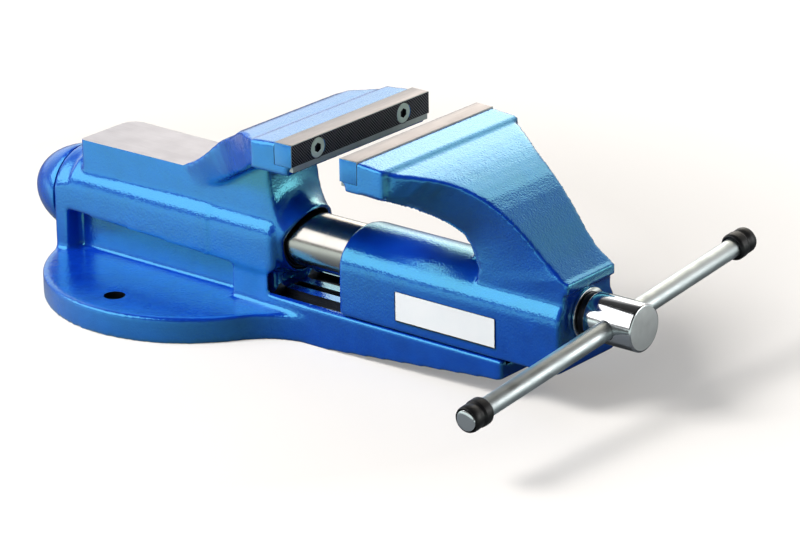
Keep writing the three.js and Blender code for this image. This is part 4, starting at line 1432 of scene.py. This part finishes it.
@dataclass(frozen=True)
class PaperFloor(Finish):
    """White seamless paper that keeps soft shadows; gloss sees a grey card there, lit in patches."""

    name: str = "white_paper_floor"
    paper: str = "#C8C4BF"
    card: str = "#606468"
    card_light: str = "#EEFFF8"
    # distance from the vise's origin in metres, against the paper's own glow
    glow: tuple[float, float, float, float] = (0.3, 0.8, 0.26, 0.93)
    front: Fade = ("Y", -0.04, -0.17, 0.05, 0.95)
    left: Fade = ("X", 0.2, -0.06, 0.06, 1.0)
    near: Fade = ("Y", -0.27, -0.31, 0.0, 0.7)
    right: Fade = ("X", 0.45, 0.53, 0.0, 0.65)
    far: Fade = ("Y", 0.5, 1.2, 0.0, 0.5)

    def shader(self, tree: Tree, place: Socket) -> Node:
        """Adds paper for the camera, and the card with its lit patches for gloss and bounced light."""
        path = add_node(tree, "LightPath").outputs
        reach = add_node(tree, "VectorMath", {0: place}, operation="LENGTH").outputs["Value"]
        glow_inputs = dict(zip(FADE_INPUTS, (reach, *self.glow)))
        glow = add_node(tree, "Emission", {
            "Color": (1, 1, 1, 1), "Strength": add_node(tree, "MapRange", glow_inputs),
        })
        paper = add_node(tree, "BsdfDiffuse", {"Color": linear(self.paper)})
        shown = add_node(tree, "AddShader", {0: paper, 1: glow})
        axes = add_node(tree, "SeparateXYZ", {0: place}).outputs
        front, left, near, right, far = (
            add_node(tree, "MapRange", dict(zip(FADE_INPUTS, (axes[axis], *limits))))
            for axis, *limits in (self.front, self.left, self.near, self.right, self.far)
        )
        side = add_node(tree, "Math", {0: left, 1: near}, operation="MAXIMUM")
        light = add_node(tree, "Math", {0: front, 1: side}, operation="MULTIPLY")
        for patch in (right, far):
            light = add_node(tree, "Math", {0: light, 1: patch}, operation="MAXIMUM")
        mirrored = add_node(tree, "Math", {0: light, 1: path["Is Glossy Ray"]}, operation="MULTIPLY")
        sheen = add_node(tree, "Emission", {"Color": linear(self.card_light), "Strength": mirrored})
        card = add_node(tree, "BsdfDiffuse", {"Color": linear(self.card)})
        unseen = add_node(tree, "AddShader", {0: card, 1: sheen})
        seen = add_node(
            tree, "Math", {0: path["Is Camera Ray"], 1: path["Is Transmission Ray"]}, operation="MAXIMUM"
        )
        return add_node(tree, "MixShader", {0: seen, 1: unseen, 2: shown})


@dataclass
class Studio:
    """The camera, the pale floor, the white room and the lamps."""

    view: ViewPoint = field(default_factory=ViewPoint)
    floor_width: float = 30.0
    dim_light: str = "#F2F6FF"
    dim_strength: float = 0.13
    # by the ray's direction: its part along an axis, from -1 to 1
    behind: Fade = ("Y", -0.15, 0.35, 0.28, 1.0)
    left: Fade = ("X", -0.1, 0.35, 1.0, 0.4)
    low: Fade = ("Z", 0.52, 0.7, 1.0, 0.06)

    def build(self) -> None:
        """Builds the whole studio."""
        self.camera()
        self.floor()
        self.world()
        self.lamps()
        bpy.context.scene.view_settings.view_transform = "Standard"

    def camera(self) -> None:
        """Puts the camera where the photograph's lines of sight meet."""
        v = self.view
        azimuth, elevation, roll = (math.radians(a) for a in (v.azimuth, v.elevation, v.roll))
        back = Vector((
            math.sin(azimuth) * math.cos(elevation), -math.cos(azimuth) * math.cos(elevation),
            math.sin(elevation),
        ))
        level = Vector((math.cos(azimuth), math.sin(azimuth), 0))
        rise = back.cross(level)
        right = level * math.cos(roll) + rise * math.sin(roll)
        up = rise * math.cos(roll) - level * math.sin(roll)
        aside = (v.aim_pixel[0] - v.width / 2) / v.scale
        above = (v.aim_pixel[1] - v.height / 2) / v.scale
        spot = Vector(v.aim) + back * v.distance - right * aside + up * above
        data = bpy.data.cameras.new("camera")
        data.sensor_width = v.sensor
        data.lens = v.scale * v.distance * v.sensor / v.width
        data.clip_start, data.clip_end = v.clip_m
        camera = bpy.data.objects.new("camera", data)
        bpy.context.scene.collection.objects.link(camera)
        turn = Matrix((right, up, back)).transposed().to_4x4()
        camera.matrix_world = Matrix.Translation(spot * MM) @ turn
        bpy.context.scene.camera = camera

    def floor(self) -> None:
        """Lays the wide paper floor."""
        clear_selection()
        bpy.ops.mesh.primitive_plane_add(size=1.0, location=(0, 0, 0), scale=(1, 1, 1))
        floor = named("floor")
        only(floor)
        bpy.ops.transform.resize(value=(self.floor_width, self.floor_width, 1), center_override=(0, 0, 0))
        bpy.ops.object.transform_apply(location=True, rotation=True, scale=True)
        dress(floor, PaperFloor())

    def world(self) -> None:
        """Sets a dim room that the camera sees as white, with a pale low wall behind for bright metal."""
        world = bpy.data.worlds.new("white_room")
        bpy.context.scene.world = world
        world.use_nodes = True
        tree = world.node_tree
        tree.nodes.clear()
        path = add_node(tree, "LightPath").outputs
        place = add_node(tree, "TexCoord").outputs["Generated"]
        axes = add_node(tree, "SeparateXYZ", {0: place}).outputs
        level, *fades = (
            add_node(tree, "MapRange", dict(zip(FADE_INPUTS, (axes[axis], *limits))))
            for axis, *limits in (self.behind, self.left, self.low)
        )
        for fade in fades:
            level = add_node(tree, "Math", {0: level, 1: fade}, operation="MULTIPLY")
        dim = add_node(tree, "Background", {"Color": linear(self.dim_light), "Strength": self.dim_strength})
        wall = add_node(tree, "Background", {"Color": (1, 1, 1, 1), "Strength": level})
        white = add_node(tree, "Background", {"Color": (1, 1, 1, 1), "Strength": 1.0})
        mirrored = add_node(
            tree, "Math", {0: path["Is Glossy Ray"], 1: path["Is Transmission Ray"]}, operation="MAXIMUM"
        )
        room = add_node(tree, "MixShader", {0: mirrored, 1: dim, 2: wall})
        shown = add_node(tree, "MixShader", {0: path["Is Camera Ray"], 1: room, 2: white})
        add_node(tree, "OutputWorld", {"Surface": shown})

    def lamps(self) -> None:
        """Hangs the lamps and turns each to its aim."""
        for lamp in LAMPS:
            data = bpy.data.lights.new(lamp.name, "AREA")
            data.shape = "RECTANGLE"
            data.size, data.size_y = lamp.size
            data.energy = lamp.watts
            data.color = linear(lamp.colour)[:3]
            hung = bpy.data.objects.new(lamp.name, data)
            bpy.context.scene.collection.objects.link(hung)
            hung.visible_glossy = lamp.mirrored
            hung.location = lamp.spot
            hung.rotation_mode = "QUATERNION"
            hung.rotation_quaternion = (Vector(lamp.aim) - Vector(lamp.spot)).to_track_quat("-Z", "Y")


def main() -> None:
    """Builds the studio and every sub-assembly in order."""
    logging.basicConfig(level=logging.INFO, format="%(name)s %(message)s")
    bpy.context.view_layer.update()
    for assembly in (
        Studio(), FixedCasting(), MovingCasting(), JawPlate("fixed", Body.BASE, 139.0, 1),
        JawPlate("moving", Body.JAW, 174.3, -1), Guide(), RearCap(), LabelPlate(), Spindle(), Handle(),
        HiddenParts(),
    ):
        assembly.build()
    bpy.context.view_layer.update()


if __name__ == "__main__":
    main()
